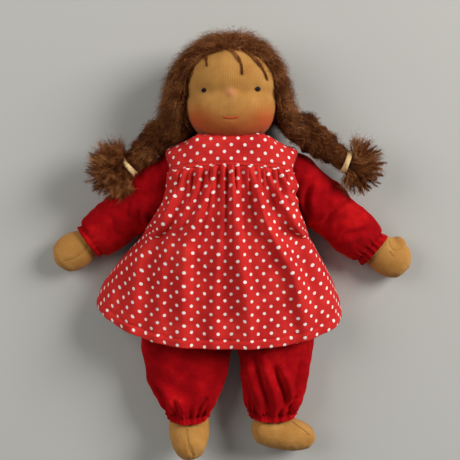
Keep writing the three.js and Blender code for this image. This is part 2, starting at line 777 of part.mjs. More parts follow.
function makeYoke() {
  const shell = cut(yokeForm(0, 0), yokeForm(-DRESS_CLOTH, DRESS_CLOTH));
  const armholes = [-1, 1].map(armholeRoom);
  const neckline = rings([YOKE_NECK_Y - OVERRUN, YOKE_NECK_Y + OVERRUN].map((y) => ({
    at: new THREE.Vector3(0, y, HEAD_Z),
    heading: 90,
    wide: NECKLINE_WIDTH / 2,
    high: NECK_WIDTH / 2 + NECK_TIE + 2 * FIT,
  })), 24);
  const open = cut(
    shell,
    ...armholes,
    neckline,
    headForm(FIT),
    neckForm(FIT + NECK_TIE + FIT),
    sleeveRoots(FIT),
    trunkForm(FIT + EASE + ROMPER_CLOTH + FIT, DRESS_CLOTH + FIT, SHOULDER_Y + FIT),
  );
  const shoulderZ = SKIRT_TOP_Z / 2;
  const front = open.intersect(block([-REACH, -REACH, shoulderZ + FIT / 2], [REACH, REACH, REACH]));
  const back = open.intersect(block([-REACH, -REACH, -FIT], [REACH, REACH, shoulderZ - FIT / 2]));
  const slit = block([-FIT / 2, NAPE_SLIT_END_Y, -REACH], [FIT / 2, REACH, REACH]);
  addPart('dress_yoke_front', mainPiece(front), materials.cotton);
  addPart('dress_yoke_back', mainPiece(cut(back, slit)), materials.cotton);
}

const FLARE_START_SHARE = 0.16;
const sideOf = (u) => (u < 0 ? SIDES.right : SIDES.left);
const sideHalf = (u, along) => lerp(yokeHalf, sideOf(u).skirtFlare, smooth(along, FLARE_START_SHARE, 1));
const hemY = (u) => HEM_Y + sideOf(u).hemSideRise * Math.abs(u) ** 3;
const SKIRT_LOWER_Y = YOKE_SEAM_Y - FIT;

// Main folds of the skirt front. Each has its place across the skirt at equal steps from the yoke to the hem,
// then shares of the fold height and of the flank, which is soft on one side and steep on the other.
const SKIRT_FOLDS = [
  { places: [-0.24, -0.4, -0.48, -0.42, -0.36, -0.34], high: 1.0, right: 1.0, left: 0.5 },
  { places: [-0.46, -0.6, -0.67, -0.61, -0.54, -0.53], high: 0.6, right: 0.65, left: 0.55 },
  { places: [-0.68, -0.83, -0.85, -0.82, -0.73, -0.72], high: 0.7, right: 0.7, left: 0.5 },
  { places: [0.01, 0.06, 0.09, 0.13, 0.15, 0.16], high: 0.8, right: 0.95, left: 0.45 },
  { places: [0.28, 0.43, 0.52, 0.62, 0.63, 0.66], high: 0.85, right: 0.7, left: 0.55 },
  { places: [0.53, 0.75, 0.9, 0.88, 0.84, 0.83], high: 0.7, right: 0.6, left: 0.55 },
];

function foldRise(u, along) {
  const grow = 0.3 + 0.7 * smooth(along, 0.02, 0.4) - 0.35 * smooth(along, 0.55, 1);
  const widen = 0.4 + 0.8 * smooth(along, 0, 0.55) + 0.5 * smooth(along, 0.5, 1);
  let rise = 0;
  for (const { places, high, right, left } of SKIRT_FOLDS) {
    const at = along * (places.length - 1);
    const step = Math.min(Math.floor(at), places.length - 2);
    const away = (u - lerp(places[step], places[step + 1], at - step)) * sideHalf(u, along);
    const flank = FOLD_FLANK * widen * (away < 0 ? right : left);
    rise += FOLD_HEIGHT * high * grow * Math.exp(-((away / flank) ** 2));
  }
  return rise * (1 - Math.abs(u) ** 8);
}

function skirtPoint(u, along) {
  const x = u * sideHalf(u, along);
  const y = lerp(SKIRT_LOWER_Y, hemY(u), along);
  const dropped = smooth(-y, -12, 8);
  const edge = lerp(SKIRT_EDGE_Z, 2 * DRESS_CLOTH + FIT, dropped);
  const top = lerp(SKIRT_TOP_Z - FIT, HEM_TOP_Z, smooth(along, 0.3, 1));
  return new THREE.Vector3(x, y, archZ(u, top, edge, YOKE_POWER) + foldRise(u, along));
}

function makeSkirt() {
  const across = (share) => Math.sin((share - 0.5) * Math.PI * 0.999);
  const front = sheet((u, v) => skirtPoint(across(u), v), DRESS_CLOTH, 46, 12);
  addPart('skirt_front', cut(front, below(DRESS_TOP_Z + FIT)), materials.cotton);

  const outline = [];
  const steps = 12;
  for (let i = 0; i <= steps; i++) outline.push([1, i / steps]);
  for (let j = 1; j < 2 * steps; j++) outline.push([1 - j / steps, 1]);
  for (let i = steps; i >= 0; i--) outline.push([-1, i / steps]);
  const plan = new THREE.Shape(outline.map(([u, along]) => {
    const point = skirtPoint(u, along);
    return new THREE.Vector2(point.x, point.y);
  }));
  addPart('skirt_back', prism(plan, 0, DRESS_CLOTH), materials.cotton);
}

function makeButton() {
  const y = YOKE_NECK_Y + FIT + BUTTON_THICK / 2;
  const z = DRESS_CLOTH + BUTTON_WIDTH / 2;
  const disc = new THREE.CylinderGeometry(BUTTON_WIDTH / 2, BUTTON_WIDTH / 2, BUTTON_THICK, 16);
  disc.translate(0, y, z);
  const holes = [-1, 1].map((side) => {
    const hole = new THREE.CylinderGeometry(BUTTON_THICK / 4, BUTTON_THICK / 4, 4 * BUTTON_THICK, 6);
    hole.translate((side * BUTTON_WIDTH) / 6, y, z);
    return toSolid(hole);
  });
  addPart('nape_button', cut(toSolid(disc), ...holes), materials.button);
}

// Arms: the sleeve runs from the armhole to the gathered cuff, and the stuffed arm lies in it
function armLine(s) {
  const heading = headingOf(s, s.armAngle);
  const root = new THREE.Vector3(s.side * (ARMHOLE_X + FIT), s.armholeY, 0);
  return { heading, at: (distance, z) => alongHeading(root, heading, distance, z) };
}

// From the armhole to the cuff: share of the length, width and height of the section, and its turn
const sleeveSections = (s) => [
  [0, s.armholeWidth, ARMHOLE_DEPTH, 0],
  [0.3, lerp(s.armholeWidth, s.elbowWidth, 0.75), ARMHOLE_DEPTH * 0.94, 0.7],
  [0.6, s.elbowWidth, ARMHOLE_DEPTH * 0.86, 1],
  [0.86, s.elbowWidth * 0.95, ARMHOLE_DEPTH * 0.76, 1],
  [1, s.cuffWidth, CUFF_THICK, 1],
];
function sleeveStations(s) {
  const { heading, at } = armLine(s);
  const plane = s.side > 0 ? 0 : 180;
  return sleeveSections(s).map(([along, wide, high, turned]) => ({
    at: at(s.sleeveLength * along, restZ(high / 2) + (along === 0 ? ROMPER_BACK_Z : 0)),
    heading: lerp(plane, heading, turned),
    wide: wide / 2,
    high: high / 2,
  }));
}
const sleeveForm = (s, grow) => stuffed(sleeveStations(s), { sides: 18, count: 7, grow });

// The stuffed arm, whose root lies nearer to the shoulder seam than the middle of the sleeve
const WRIST_Z = restZ(CUFF_THICK / 2);
const ARM_ROOT_SHIFT_SHARE = 0.55;
const ELBOW_SHIFT_SHARE = 0.2;
function armForm(s, grow) {
  const { heading, at } = armLine(s);
  const armZ = ROMPER_CLOTH + FIT + ARM_THICK / 2;
  const rootShift = new THREE.Vector3(0, ARM_ROOT_Y - s.armholeY, 0);
  const stations = [
    [-OVERRUN, ARM_THICK, armZ, ARM_ROOT_SHIFT_SHARE],
    [s.sleeveLength / 2, ARM_THICK, armZ, ELBOW_SHIFT_SHARE],
    [s.sleeveLength - CUFF_ELASTIC_WIDTH, WRIST_THICK, WRIST_Z, 0],
    [s.sleeveLength + OVERRUN, WRIST_THICK, WRIST_Z, 0],
  ].map(([distance, thick, z, shifted]) => ({
    at: at(distance, z).addScaledVector(rootShift, shifted),
    heading,
    wide: thick / 2 + grow,
    high: thick / 2 + grow,
  }));
  return stuffed(stations, { sides: 12, count: 5 });
}

// Shares of the hand's length, width and thickness, and of the thumb's length and thickness
const PALM_SHARES = [
  [-0.14, 0.62, 0.8],
  [0.12, 0.82, 0.92],
  [0.36, 1, 1],
  [0.58, 0.94, 0.96],
  [0.8, 0.8, 0.86],
];
const THUMB_ROOT_SHARE = 0.3;
const THUMB_SHARES = [
  [0, 0.8],
  [0.5, 1],
  [1, 0.9],
];
function handForm(s) {
  const handZ = restZ(HAND_THICK / 2);
  const heading = headingOf(s, s.handAngle);
  const handAt = (distance) => alongHeading(armLine(s).at(s.sleeveLength, 0), heading, distance, handZ);
  const palm = stuffed(PALM_SHARES.map(([along, wideShare, highShare]) => ({
    at: handAt(HAND_LENGTH * along),
    heading,
    wide: (HAND_WIDTH / 2) * wideShare,
    high: (HAND_THICK / 2) * highShare,
  })), { sides: 16, count: 7, endShare: 0.34 });
  const thumbHeading = heading + s.thumbAngle;
  const thumbRoot = handAt(HAND_LENGTH * THUMB_ROOT_SHARE);
  const thumb = stuffed(THUMB_SHARES.map(([along, share]) => ({
    at: alongHeading(thumbRoot, thumbHeading, s.thumbLength * along, handZ),
    heading: thumbHeading,
    wide: (THUMB_WIDTH / 2) * share,
    high: (THUMB_WIDTH / 2) * share,
  })), { sides: 12, count: 4, endShare: 0.4 });
  return join(palm, thumb);
}

function makeArm(name, s) {
  const { heading, at } = armLine(s);
  const outer = cut(sleeveForm(s, 0).intersect(outside(s, FIT)), below(0));
  const cuffAt = s.sleeveLength;
  const boreStations = sleeveStations(s);
  const rootEnd = { ...boreStations[0], at: boreStations[0].at.clone().setX(s.side * (ARMHOLE_X - OVERRUN)) };
  const bore = stuffed([rootEnd, ...boreStations], { sides: 12, count: 6, grow: -ROMPER_CLOTH });
  const cuffBore = rings([cuffAt - CUFF_ELASTIC_WIDTH - OVERRUN, cuffAt + OVERRUN].map((distance) => ({
    at: at(distance, WRIST_Z),
    heading,
    wide: WRIST_THICK / 2 + 2 * FIT + CUFF_ELASTIC_THICK,
    high: WRIST_THICK / 2 + 2 * FIT + CUFF_ELASTIC_THICK,
  })), 16);
  const hollow = mainPiece(join(cut(bore, below(ROMPER_CLOTH)), armForm(s, FIT), cuffBore));
  const sleeve = cut(outer, hollow);
  const cuffPlane = cuffAt + FIT;
  const handOnly = cut(handForm(s), behind(s, cuffPlane));
  addPart(`${name}_sleeve`, mainPiece(cut(sleeve, handOnly, ahead(s, cuffAt))), materials.velour);
  const armInside = armForm(s, 0).intersect(behind(s, cuffPlane + OVERRUN));
  addPart(`${name}_arm`, mainPiece(cut(
    join(armInside, handOnly).intersect(outside(s, FIT)), below(0))), materials.skin);
  const ring = {
    at: at(cuffAt - CUFF_ELASTIC_WIDTH / 2, WRIST_Z),
    heading,
    wide: WRIST_THICK / 2 + FIT,
    high: WRIST_THICK / 2 + FIT,
  };
  const elastic = band(ring, CUFF_ELASTIC_THICK, CUFF_ELASTIC_WIDTH - FIT, 16);
  addPart(`${name}_cuff_elastic`, elastic, materials.elastic);
}

// Half spaces across the arm's line
function halfSpace(s, distance, forward) {
  const { heading, at } = armLine(s);
  const geometry = new THREE.BoxGeometry(REACH, REACH, REACH);
  geometry.translate(forward ? REACH / 2 : -REACH / 2, 0, 0);
  geometry.rotateZ(radians(heading));
  const place = at(distance, 0);
  geometry.translate(place.x, place.y, 0);
  return toSolid(geometry);
}
const behind = (s, distance) => halfSpace(s, distance, false);
const ahead = (s, distance) => halfSpace(s, distance, true);

// Hips: the seat of the romper and the flat sewn web that the body folds at
const SEAT_END_Y = FOLD_Y - SEAT_LENGTH;
function seatForm(grow, from, to) {
  return stuffed([0, 0.5, 1].map((along) => ({
    at: new THREE.Vector3(0, lerp(from, to, along), ROMPER_BACK_Z + restZ(SEAT_DEPTH / 2)),
    heading: -90,
    wide: lerp(CHEST_WIDTH + OVERRUN, SEAT_WIDTH, along) / 2,
    high: SEAT_DEPTH / 2,
    power: TRUNK_POWER,
  })), { sides: 24, count: 2, grow });
}

function makeHips() {
  const outer = cut(seatForm(0, FOLD_Y - FIT, SEAT_END_Y), below(ROMPER_BACK_Z));
  const bore = seatForm(-ROMPER_CLOTH, FOLD_Y + OVERRUN, SEAT_END_Y - OVERRUN);
  const inner = cut(bore, below(ROMPER_BACK_Z + ROMPER_CLOTH));
  addPart('romper_seat', cut(outer, inner), materials.velour);
  const webZ = ROMPER_BACK_Z + restZ(SEAT_DEPTH / 2);
  addPart('hip_seam', block(
    [-CHEST_WIDTH / 2, SEAT_END_Y + FIT, webZ - HIP_WEB_THICK / 2],
    [CHEST_WIDTH / 2, FOLD_Y - FIT, webZ + HIP_WEB_THICK / 2]), materials.skin);
}

// Legs: the stuffed leg with its foot, and the wide trouser leg gathered at the ankle
const LEG_TOP_Y = SEAT_END_Y - FIT;
const TROUSER_TOP_HALF = SEAT_WIDTH / 4 - FIT;
const TROUSER_ANKLE_HALF = (ANKLE_GATHER_THICK / 2) * 1.08;
const TROUSER_POWER = 2.3;
// From the crotch to the ankle: share of the length, distance from the midline, half width and height
const trouserSections = (s) => [
  [0, TROUSER_TOP_HALF + FIT, TROUSER_TOP_HALF, SEAT_DEPTH],
  [0.2, lerp(TROUSER_TOP_HALF, s.legX, 0.7), lerp(TROUSER_TOP_HALF, s.legWidth / 2, 0.7), SEAT_DEPTH * 0.9],
  [0.46, s.legX, s.legWidth / 2, SEAT_DEPTH * 0.8],
  [0.78, lerp(s.legX, s.ankleX, 0.4), s.legWidth * 0.4, SEAT_DEPTH * 0.7],
  [0.93, s.ankleX, TROUSER_ANKLE_HALF * 1.12, ANKLE_GATHER_THICK * 1.14],
  [1, s.ankleX, TROUSER_ANKLE_HALF, ANKLE_GATHER_THICK],
];
function trouserStations(s) {
  return trouserSections(s).map(([along, x, half, high]) => {
    const z = restZ(high / 2) + (along === 0 ? ROMPER_BACK_Z : 0);
    return {
      at: new THREE.Vector3(s.side * x, lerp(LEG_TOP_Y, ANKLE_Y, along), z),
      heading: -90,
      wide: half,
      high: high / 2,
      power: TROUSER_POWER,
    };
  });
}

// The stuffed leg: height along Y, distance from the midline, thickness and height of its axis
const LEG_Z = ROMPER_BACK_Z + ROMPER_CLOTH + FIT + LEG_THICK / 2;
const ANKLE_Z = restZ(ANKLE_GATHER_THICK / 2);
const legSections = (s) => [
  [LEG_TOP_Y, SEAT_WIDTH / 4, LEG_THICK * 0.8, LEG_Z],
  [lerp(LEG_TOP_Y, ANKLE_Y, 0.3), s.legX, LEG_THICK, LEG_Z],
  [lerp(LEG_TOP_Y, ANKLE_Y, 0.7), lerp(s.legX, s.ankleX, 0.5), LEG_THICK * 0.9, LEG_Z],
  [ANKLE_Y + CUFF_ELASTIC_WIDTH * 2, s.ankleX, ANKLE_THICK, ANKLE_Z],
  [ANKLE_Y - CUFF_ELASTIC_WIDTH, s.ankleX, ANKLE_THICK, ANKLE_Z],
];
function legForm(s, grow) {
  const stations = legSections(s).map(([y, x, thick, z]) => ({
    at: new THREE.Vector3(s.side * x, y, z),
    heading: -90,
    wide: thick / 2 + grow,
    high: thick / 2 + grow,
  }));
  return stuffed(stations, { sides: 12, count: 5 });
}

function makeLeg(name, s) {
  const skirtRoom = DRESS_CLOTH + FIT;
  const outer = cut(
    stuffed(trouserStations(s), { sides: 20, count: 9 }),
    below(0),
    block([-REACH, HEM_Y - OVERRUN, -REACH], [REACH, REACH, skirtRoom]),
  );
  const foot = stuffed(footStations(s), { sides: 16, count: 6, startShare: 0.22, endShare: 0.26 });
  const beyondCuff = block([-REACH, -REACH, -REACH], [REACH, ANKLE_Y - FIT, REACH]);
  const leg = join(legForm(s, 0), foot.intersect(beyondCuff));
  addPart(`${name}_leg`, mainPiece(cut(leg.intersect(slab(-REACH, LEG_TOP_Y)), below(0))), materials.skin);

  const bore = stuffed(trouserStations(s).map((station, i) => ({
    ...station,
    at: station.at.clone().setY(station.at.y + (i === 0 ? OVERRUN : 0)),
  })), { sides: 12, count: 6, grow: -ROMPER_CLOTH });
  const elasticHalf = ANKLE_THICK / 2 + 2 * FIT + CUFF_ELASTIC_THICK;
  const cuffBore = rings([ANKLE_Y + CUFF_ELASTIC_WIDTH + OVERRUN, ANKLE_Y - OVERRUN].map((y) => ({
    at: new THREE.Vector3(s.side * s.ankleX, y, ANKLE_Z),
    heading: -90,
    wide: elasticHalf,
    high: elasticHalf,
  })), 16);
  const floorRoom = join(
    block([-REACH, HEM_Y - OVERRUN, -REACH], [REACH, REACH, skirtRoom + ROMPER_CLOTH]),
    below(ROMPER_CLOTH),
  );
  addPart(`${name}_trouser`, mainPiece(cut(
    outer.intersect(slab(ANKLE_Y, LEG_TOP_Y)),
    cut(bore, floorRoom),
    cuffBore,
    legForm(s, FIT),
  )), materials.velour);
  addPart(`${name}_ankle_elastic`, band({
    at: new THREE.Vector3(s.side * s.ankleX, ANKLE_Y + CUFF_ELASTIC_WIDTH / 2, ANKLE_Z),
    heading: -90,
    wide: ANKLE_THICK / 2 + FIT,
    high: ANKLE_THICK / 2 + FIT,
  }, CUFF_ELASTIC_THICK, CUFF_ELASTIC_WIDTH - FIT, 16), materials.elastic);
}

// The foot runs from its heel, under the ankle, along its own heading and pitch. One foot lies on its side.
const FOOT_POWER = 2.2;
const FOOT_SHARES = [
  [0, 0.78, 0.9],
  [0.3, 0.94, 1],
  [0.66, 1, 0.96],
  [1, 0.86, 0.8],
];
function heelPlace(s) {
  if (s.footPitch > 0) {
    const shift = new THREE.Vector3(0, -FOOT_THICK * 0.12, -FOOT_THICK * 0.32);
    return new THREE.Vector3(s.side * s.ankleX, ANKLE_Y, ANKLE_Z).add(shift);
  }
  const x = s.side * (s.ankleX - FOOT_THICK * 0.62);
  return new THREE.Vector3(x, ANKLE_Y - FOOT_THICK * 0.36, restZ(FOOT_WIDTH / 2));
}

function footStations(s) {
  const onSide = s.footPitch === 0;
  const wide = (onSide ? FOOT_THICK : FOOT_WIDTH) / 2;
  const high = (onSide ? FOOT_WIDTH : FOOT_THICK) / 2;
  const [turn, tilt] = [radians(s.footHeading), radians(s.footPitch)];
  const direction = new THREE.Vector3(
    Math.cos(turn) * Math.cos(tilt),
    Math.sin(turn) * Math.cos(tilt),
    Math.sin(tilt),
  );
  return FOOT_SHARES.map(([along, wideShare, highShare]) => ({
    at: heelPlace(s).addScaledVector(direction, s.footLength * along),
    heading: s.footHeading,
    pitch: s.footPitch,
    wide: wide * wideShare,
    high: high * highShare,
    power: FOOT_POWER,
  }));
}

makeHead();
makeHair();
makeTrunk();
makeYoke();
makeSkirt();
makeButton();
makeHips();
for (const [name, s] of Object.entries(SIDES)) {
  makeBraid(name, s);
  makeArm(name, s);
  makeLeg(name, s);
}

export default group;
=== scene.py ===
"""Looks of a waldorf doll lying on its back: knit skin, mohair hair, velour romper and dotted cotton dress.

Lengths are in millimetres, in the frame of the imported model, and become metres where a mesh is made.
The doll lies on z = 0 with its crown towards +Y; its own right side is towards -X.
"""

import math
from types import SimpleNamespace as Side

import bpy
import numpy as np
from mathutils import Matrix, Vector


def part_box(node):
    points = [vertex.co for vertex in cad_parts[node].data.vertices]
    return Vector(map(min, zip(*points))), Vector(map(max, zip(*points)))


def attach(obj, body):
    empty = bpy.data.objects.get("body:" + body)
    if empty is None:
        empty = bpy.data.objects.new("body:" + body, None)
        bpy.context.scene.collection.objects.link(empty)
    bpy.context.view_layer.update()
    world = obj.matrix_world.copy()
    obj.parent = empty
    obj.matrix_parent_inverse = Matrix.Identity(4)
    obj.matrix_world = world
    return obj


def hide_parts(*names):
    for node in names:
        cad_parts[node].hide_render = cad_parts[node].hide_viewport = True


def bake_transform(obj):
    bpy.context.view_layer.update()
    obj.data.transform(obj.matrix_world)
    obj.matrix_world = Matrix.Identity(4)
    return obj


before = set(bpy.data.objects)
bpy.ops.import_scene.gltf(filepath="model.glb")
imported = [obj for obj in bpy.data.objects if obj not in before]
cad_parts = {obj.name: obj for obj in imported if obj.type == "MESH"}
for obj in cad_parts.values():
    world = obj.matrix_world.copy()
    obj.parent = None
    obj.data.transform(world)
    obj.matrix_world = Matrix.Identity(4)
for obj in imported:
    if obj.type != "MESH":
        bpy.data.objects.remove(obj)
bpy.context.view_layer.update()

MM = 0.001
TAU = 2 * math.pi
UP = np.array([0, 0, 1.0])
# The least height of any point over the bed
BED_GAP = 0.1
# Seeds of the random draws
HAIR_SEED = 31
BRAID_SEED = 57
FRINGE_SEED = 77
TUCK_SEED = 12

# Head and face, as the solids have them
CHIN_Y = 86
HEAD_WIDTH = 86
HEAD_LENGTH = 94
HEAD_DEPTH = 76
HEAD_Z = 44
HEAD_MIDDLE_Y = CHIN_Y + HEAD_LENGTH / 2
CROWN_POWER = 2.3
CHIN_POWER = 3.0
EYE_LINE_Y = HEAD_MIDDLE_Y - 7
EYE_LINE_DEPTH = 1.5
EYE_LINE_SPREAD = 5
EYE_X = 24.5
EYE_Y = EYE_LINE_Y + 2.6
EYE_TILT = 0.6
EYE_SIZE = 4.3
NOSE_Y = EYE_LINE_Y - 1.2
MOUTH_Y = EYE_LINE_Y - 23.6
MOUTH_WIDTH = 12.6
MOUTH_CURVE = 0.9
NECK_RADIUS = 18

# Clothes
ARMHOLE_X = 64
YOKE_SEAM_Y = 59.5
YOKE_NECK_Y = 88
YOKE_HALF = 62
SEAM_TAPER = 0.94
SEAM_SAG = 5.6
SKIRT_TOP_Z = 66
SKIRT_EDGE_Z = 45.6
HEM_Y = -108
HEM_TOP_Z = 54
HEM_DEPTH = 7.5
DOT_SPACING = 8.8
DOT_SIZE = 2.95
DRESS_CLOTH = 0.8
BACK_Z = 0.95

# What differs between the doll's own right and left: side is the sign of x, and angles are in degrees in plan
SIDES = {
    "right": Side(
        side=-1, armhole_y=44, armhole_width=63, sleeve_length=90, arm_angle=36.5, elbow_width=47,
        cuff_width=34, frill=0.8, cuff_gather=0.45, hand_size=0.92, hand_angle=31,
        thumb_angle=76, thumb_length=16, braid_y=92.5, braid_angle=43, braid_width=27, tie_angle=41,
        tassel_angle=12, tassel_length=38, tassel_curl=2.4, skirt_flare=129, hem_side_rise=38,
        leg_x=43, leg_width=88, calf_share=0.345, ankle_x=41, gather_width=40, hem_tilt=8.5, hem_lift=4.5),
    "left": Side(
        side=1, armhole_y=47, armhole_width=59, sleeve_length=96, arm_angle=41.3, elbow_width=46,
        cuff_width=34.5, frill=3.0, cuff_gather=1.0, hand_size=0.96, hand_angle=25,
        thumb_angle=62, thumb_length=23, braid_y=97.5, braid_angle=35.5, braid_width=30, tie_angle=20,
        tassel_angle=14, tassel_length=35, tassel_curl=0.75, skirt_flare=106, hem_side_rise=27,
        leg_x=42, leg_width=72, calf_share=0.395, ankle_x=39.5, gather_width=44, hem_tilt=6.5, hem_lift=4.0),
}


# Small numeric helpers


def smooth(x, low, high):
    t = np.clip((np.asarray(x, float) - low) / (high - low), 0, 1)
    return t * t * (3 - 2 * t)


def lerp(a, b, t):
    return a + (b - a) * t


def unit(v):
    return v / np.maximum(np.linalg.norm(v, axis=-1, keepdims=True), 1e-9)


def bell(x, width):
    return np.exp(-((np.asarray(x, float) / width) ** 2))


def rounding(v, power):
    return np.sign(v) * np.abs(v) ** (2 / power)


def around(columns, start=0.0):
    """Angles at equal steps round a ring, from a share of a step."""
    return (np.arange(columns) + start) / columns * TAU


def plan_way(degrees):
    turn = math.radians(degrees)
    return np.array([math.cos(turn), math.sin(turn), 0])


def left_of(way):
    return np.array([-way[1], way[0], 0])


def circle(angle, side, up):
    return np.cos(angle)[..., None] * side + np.sin(angle)[..., None] * up


def heading_out(s, angle):
    """A heading out from the doll's side and an angle towards its feet."""
    return -angle if s.side > 0 else 180 + angle


def through(points, count):
    """A smooth curve through a few points, as count points (Catmull-Rom)."""
    points = np.asarray(points, float)
    padded = np.concatenate([2 * points[:1] - points[1:2], points, 2 * points[-1:] - points[-2:-1]])
    where = np.linspace(0, len(points) - 1, count)
    first = np.minimum(where.astype(int), len(points) - 2)
    t = (where - first).reshape((-1,) + (1,) * (points.ndim - 1))
    a, b, c, d = (padded[first + k] for k in range(4))
    return 0.5 * (2 * b + (c - a) * t + (2 * a - 5 * b + 4 * c - d) * t**2 + (3 * b - a - 3 * c + d) * t**3)


def corners(node):
    low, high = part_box(node)
    return np.array(low) / MM, np.array(high) / MM


def centre(node):
    return sum(corners(node)) / 2


def ripple(points, scale, seed):
    """Smooth noise between about -1 and 1 at points, made of a few fixed waves."""
    rng = np.random.default_rng(seed)
    total = np.zeros(points.shape[:-1])
    for octave in range(3):
        for _ in range(5):
            direction = unit(rng.normal(size=3)) * TAU / (scale / 1.9**octave)
            total += np.sin(points @ direction + rng.uniform(0, TAU)) / (3.2 * 1.7**octave)
    return total


# Meshes from points


def grid_steps(rows, columns, wrap):
    return np.meshgrid(np.arange(rows - 1), np.arange(columns if wrap else columns - 1), indexing="ij")


def grid_quads(rows, columns, wrap=True):
    i, j = grid_steps(rows, columns, wrap)
    k = (j + 1) % columns
    quads = [i * columns + j, i * columns + k, (i + 1) * columns + k, (i + 1) * columns + j]
    return np.stack(quads, -1).reshape(-1, 4)


def new_object(name, points, faces, material, uv=None, **attributes):
    mesh = bpy.data.meshes.new(name)
    mesh.from_pydata(np.asarray(points).reshape(-1, 3) * MM, [], faces)
    mesh.shade_smooth()
    if uv is not None:
        places = (np.asarray(uv) * MM).astype(np.float32)
        mesh.uv_layers.new(name="cloth").data.foreach_set("uv", places.ravel())
    for key, values in attributes.items():
        layer = mesh.attributes.new(key, "FLOAT", "POINT")
        layer.data.foreach_set("value", np.asarray(values, np.float32).ravel())
    mesh.materials.append(material)
    obj = bpy.data.objects.new(name, mesh)
    bpy.context.scene.collection.objects.link(obj)
    return obj


def surface(name, grid, material, wrap=False, uv=None, close=(), **attributes):
    """A grid of points as a mesh. uv has one column more than a wrapped grid. close lists rows to cap."""
    rows, columns = grid.shape[:2]
    faces = grid_quads(rows, columns, wrap).tolist()
    if uv is not None:
        i, j = grid_steps(rows, columns, wrap)
        places = np.stack([uv[i, j], uv[i, j + 1], uv[i + 1, j + 1], uv[i + 1, j]], 2).reshape(-1, 2)
        uv = np.vstack([places, *(uv[row, :columns] for row in close)])
    for row in close:
        ring = [row % rows * columns + j for j in range(columns)]
        faces.append(ring if row else ring[::-1])
    return new_object(name, grid, faces, material, uv, **attributes)


def arc_uv(grid, wrap=False):
    """Coordinates of cloth laid flat: arc lengths across and along the grid, from its middle column."""
    if wrap:
        grid = np.concatenate([grid, grid[:, :1]], 1)
    across = np.cumsum(np.linalg.norm(np.diff(grid, axis=1), axis=2), 1)
    across = np.concatenate([np.zeros((len(grid), 1)), across], 1)
    across -= across[:, [across.shape[1] // 2]]
    along = np.cumsum(np.linalg.norm(np.diff(grid, axis=0), axis=2), 0)
    along = np.concatenate([np.zeros((1, grid.shape[1])), along], 0)
    return np.stack([across, along], -1)


def evened(uv, reach):
    """Evens out how far across each row's coordinates lie, over a number of rows either way."""
    across = np.pad(uv[..., 0], ((reach + 1, reach), (0, 0)), mode="reflect", reflect_type="odd")
    total = np.cumsum(across, 0)
    width = 2 * reach + 1
    return np.stack([(total[width:] - total[:-width]) / width, uv[..., 1]], -1)


def normals(grid, wrap=False):
    """Normals of a grid: outwards from each ring of a wrapped one, and mostly upwards from an open one."""
    du = np.roll(grid, -1, 1) - np.roll(grid, 1, 1) if wrap else np.gradient(grid, axis=1)
    out = unit(np.cross(du, np.gradient(grid, axis=0)))
    outwards = (out * (grid - grid.mean(1, keepdims=True))).sum() if wrap else out[..., 2].mean()
    return out * np.sign(outwards)


def raised(grid, out, height):
    return grid + out * height[..., None]


def keep_above(grid, height=BED_GAP):
    grid[..., 2] = np.maximum(grid[..., 2], height)
    return grid


def settle(obj):
    """Applies the modifiers of an object."""
    evaluated = obj.evaluated_get(bpy.context.evaluated_depsgraph_get())
    mesh = bpy.data.meshes.new_from_object(evaluated)
    obj.modifiers.clear()
    obj.data = mesh
    return obj


def thicken(obj, thickness):
    modifier = obj.modifiers.new("cloth", "SOLIDIFY")
    modifier.thickness = thickness * MM
    modifier.offset = -1
    return settle(obj)


def section(at, heading, pitch, wide, high, power, columns):
    """A superellipse across a heading in plan and a pitch above it, in degrees."""
    turn, tilt = math.radians(heading), math.radians(pitch)
    across = np.array([-math.sin(turn), math.cos(turn), 0])
    up = np.array([-math.cos(turn) * math.sin(tilt), -math.sin(turn) * math.sin(tilt), math.cos(tilt)])
    angle = around(columns, 0.5)
    wide_part = wide * rounding(np.cos(angle), power)[:, None] * across
    return at + wide_part + high * rounding(np.sin(angle), power)[:, None] * up


def tube(points, radii, sides=6):
    """Rings round a curve: points (n, 3) and radii (n,) give a grid (n, sides, 3)."""
    points = np.asarray(points, float)
    tangent = unit(np.gradient(points, axis=0))
    side = unit(np.cross(tangent, [0.13, 0.21, 0.97]))
    ring = circle(around(sides), side[:, None], np.cross(tangent, side)[:, None])
    return points[:, None] + ring * np.asarray(radii)[:, None, None]


def joined(name, grids, material):
    """Several closed grids as one mesh, each capped at both ends."""
    points, faces, first = [], [], 0
    for grid in grids:
        rows, columns = grid.shape[:2]
        faces += (grid_quads(rows, columns) + first).tolist()
        ring = np.arange(columns) + first
        faces += [ring[::-1].tolist(), (ring + (rows - 1) * columns).tolist()]
        points.append(grid.reshape(-1, 3))
        first += rows * columns
    return new_object(name, np.vstack(points), faces, material)


# Where the body folds at the hips
SIT_BLEND = {"start": (0, 0.004, 0.03), "end": (0, -0.052, 0.03)}


def dress(obj, slot, *bodies, nodes=(), fill=None, blend=SIT_BLEND):
    """Hides the nodes a piece stands for and ties the piece to the body it moves with; a piece between two
    bodies is tied to none. Its slot and how full it is are not used.
    """
    if nodes:
        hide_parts(*nodes)
    if len(bodies) == 2:
        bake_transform(obj)
    else:
        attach(obj, bodies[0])
    return obj


# Materials


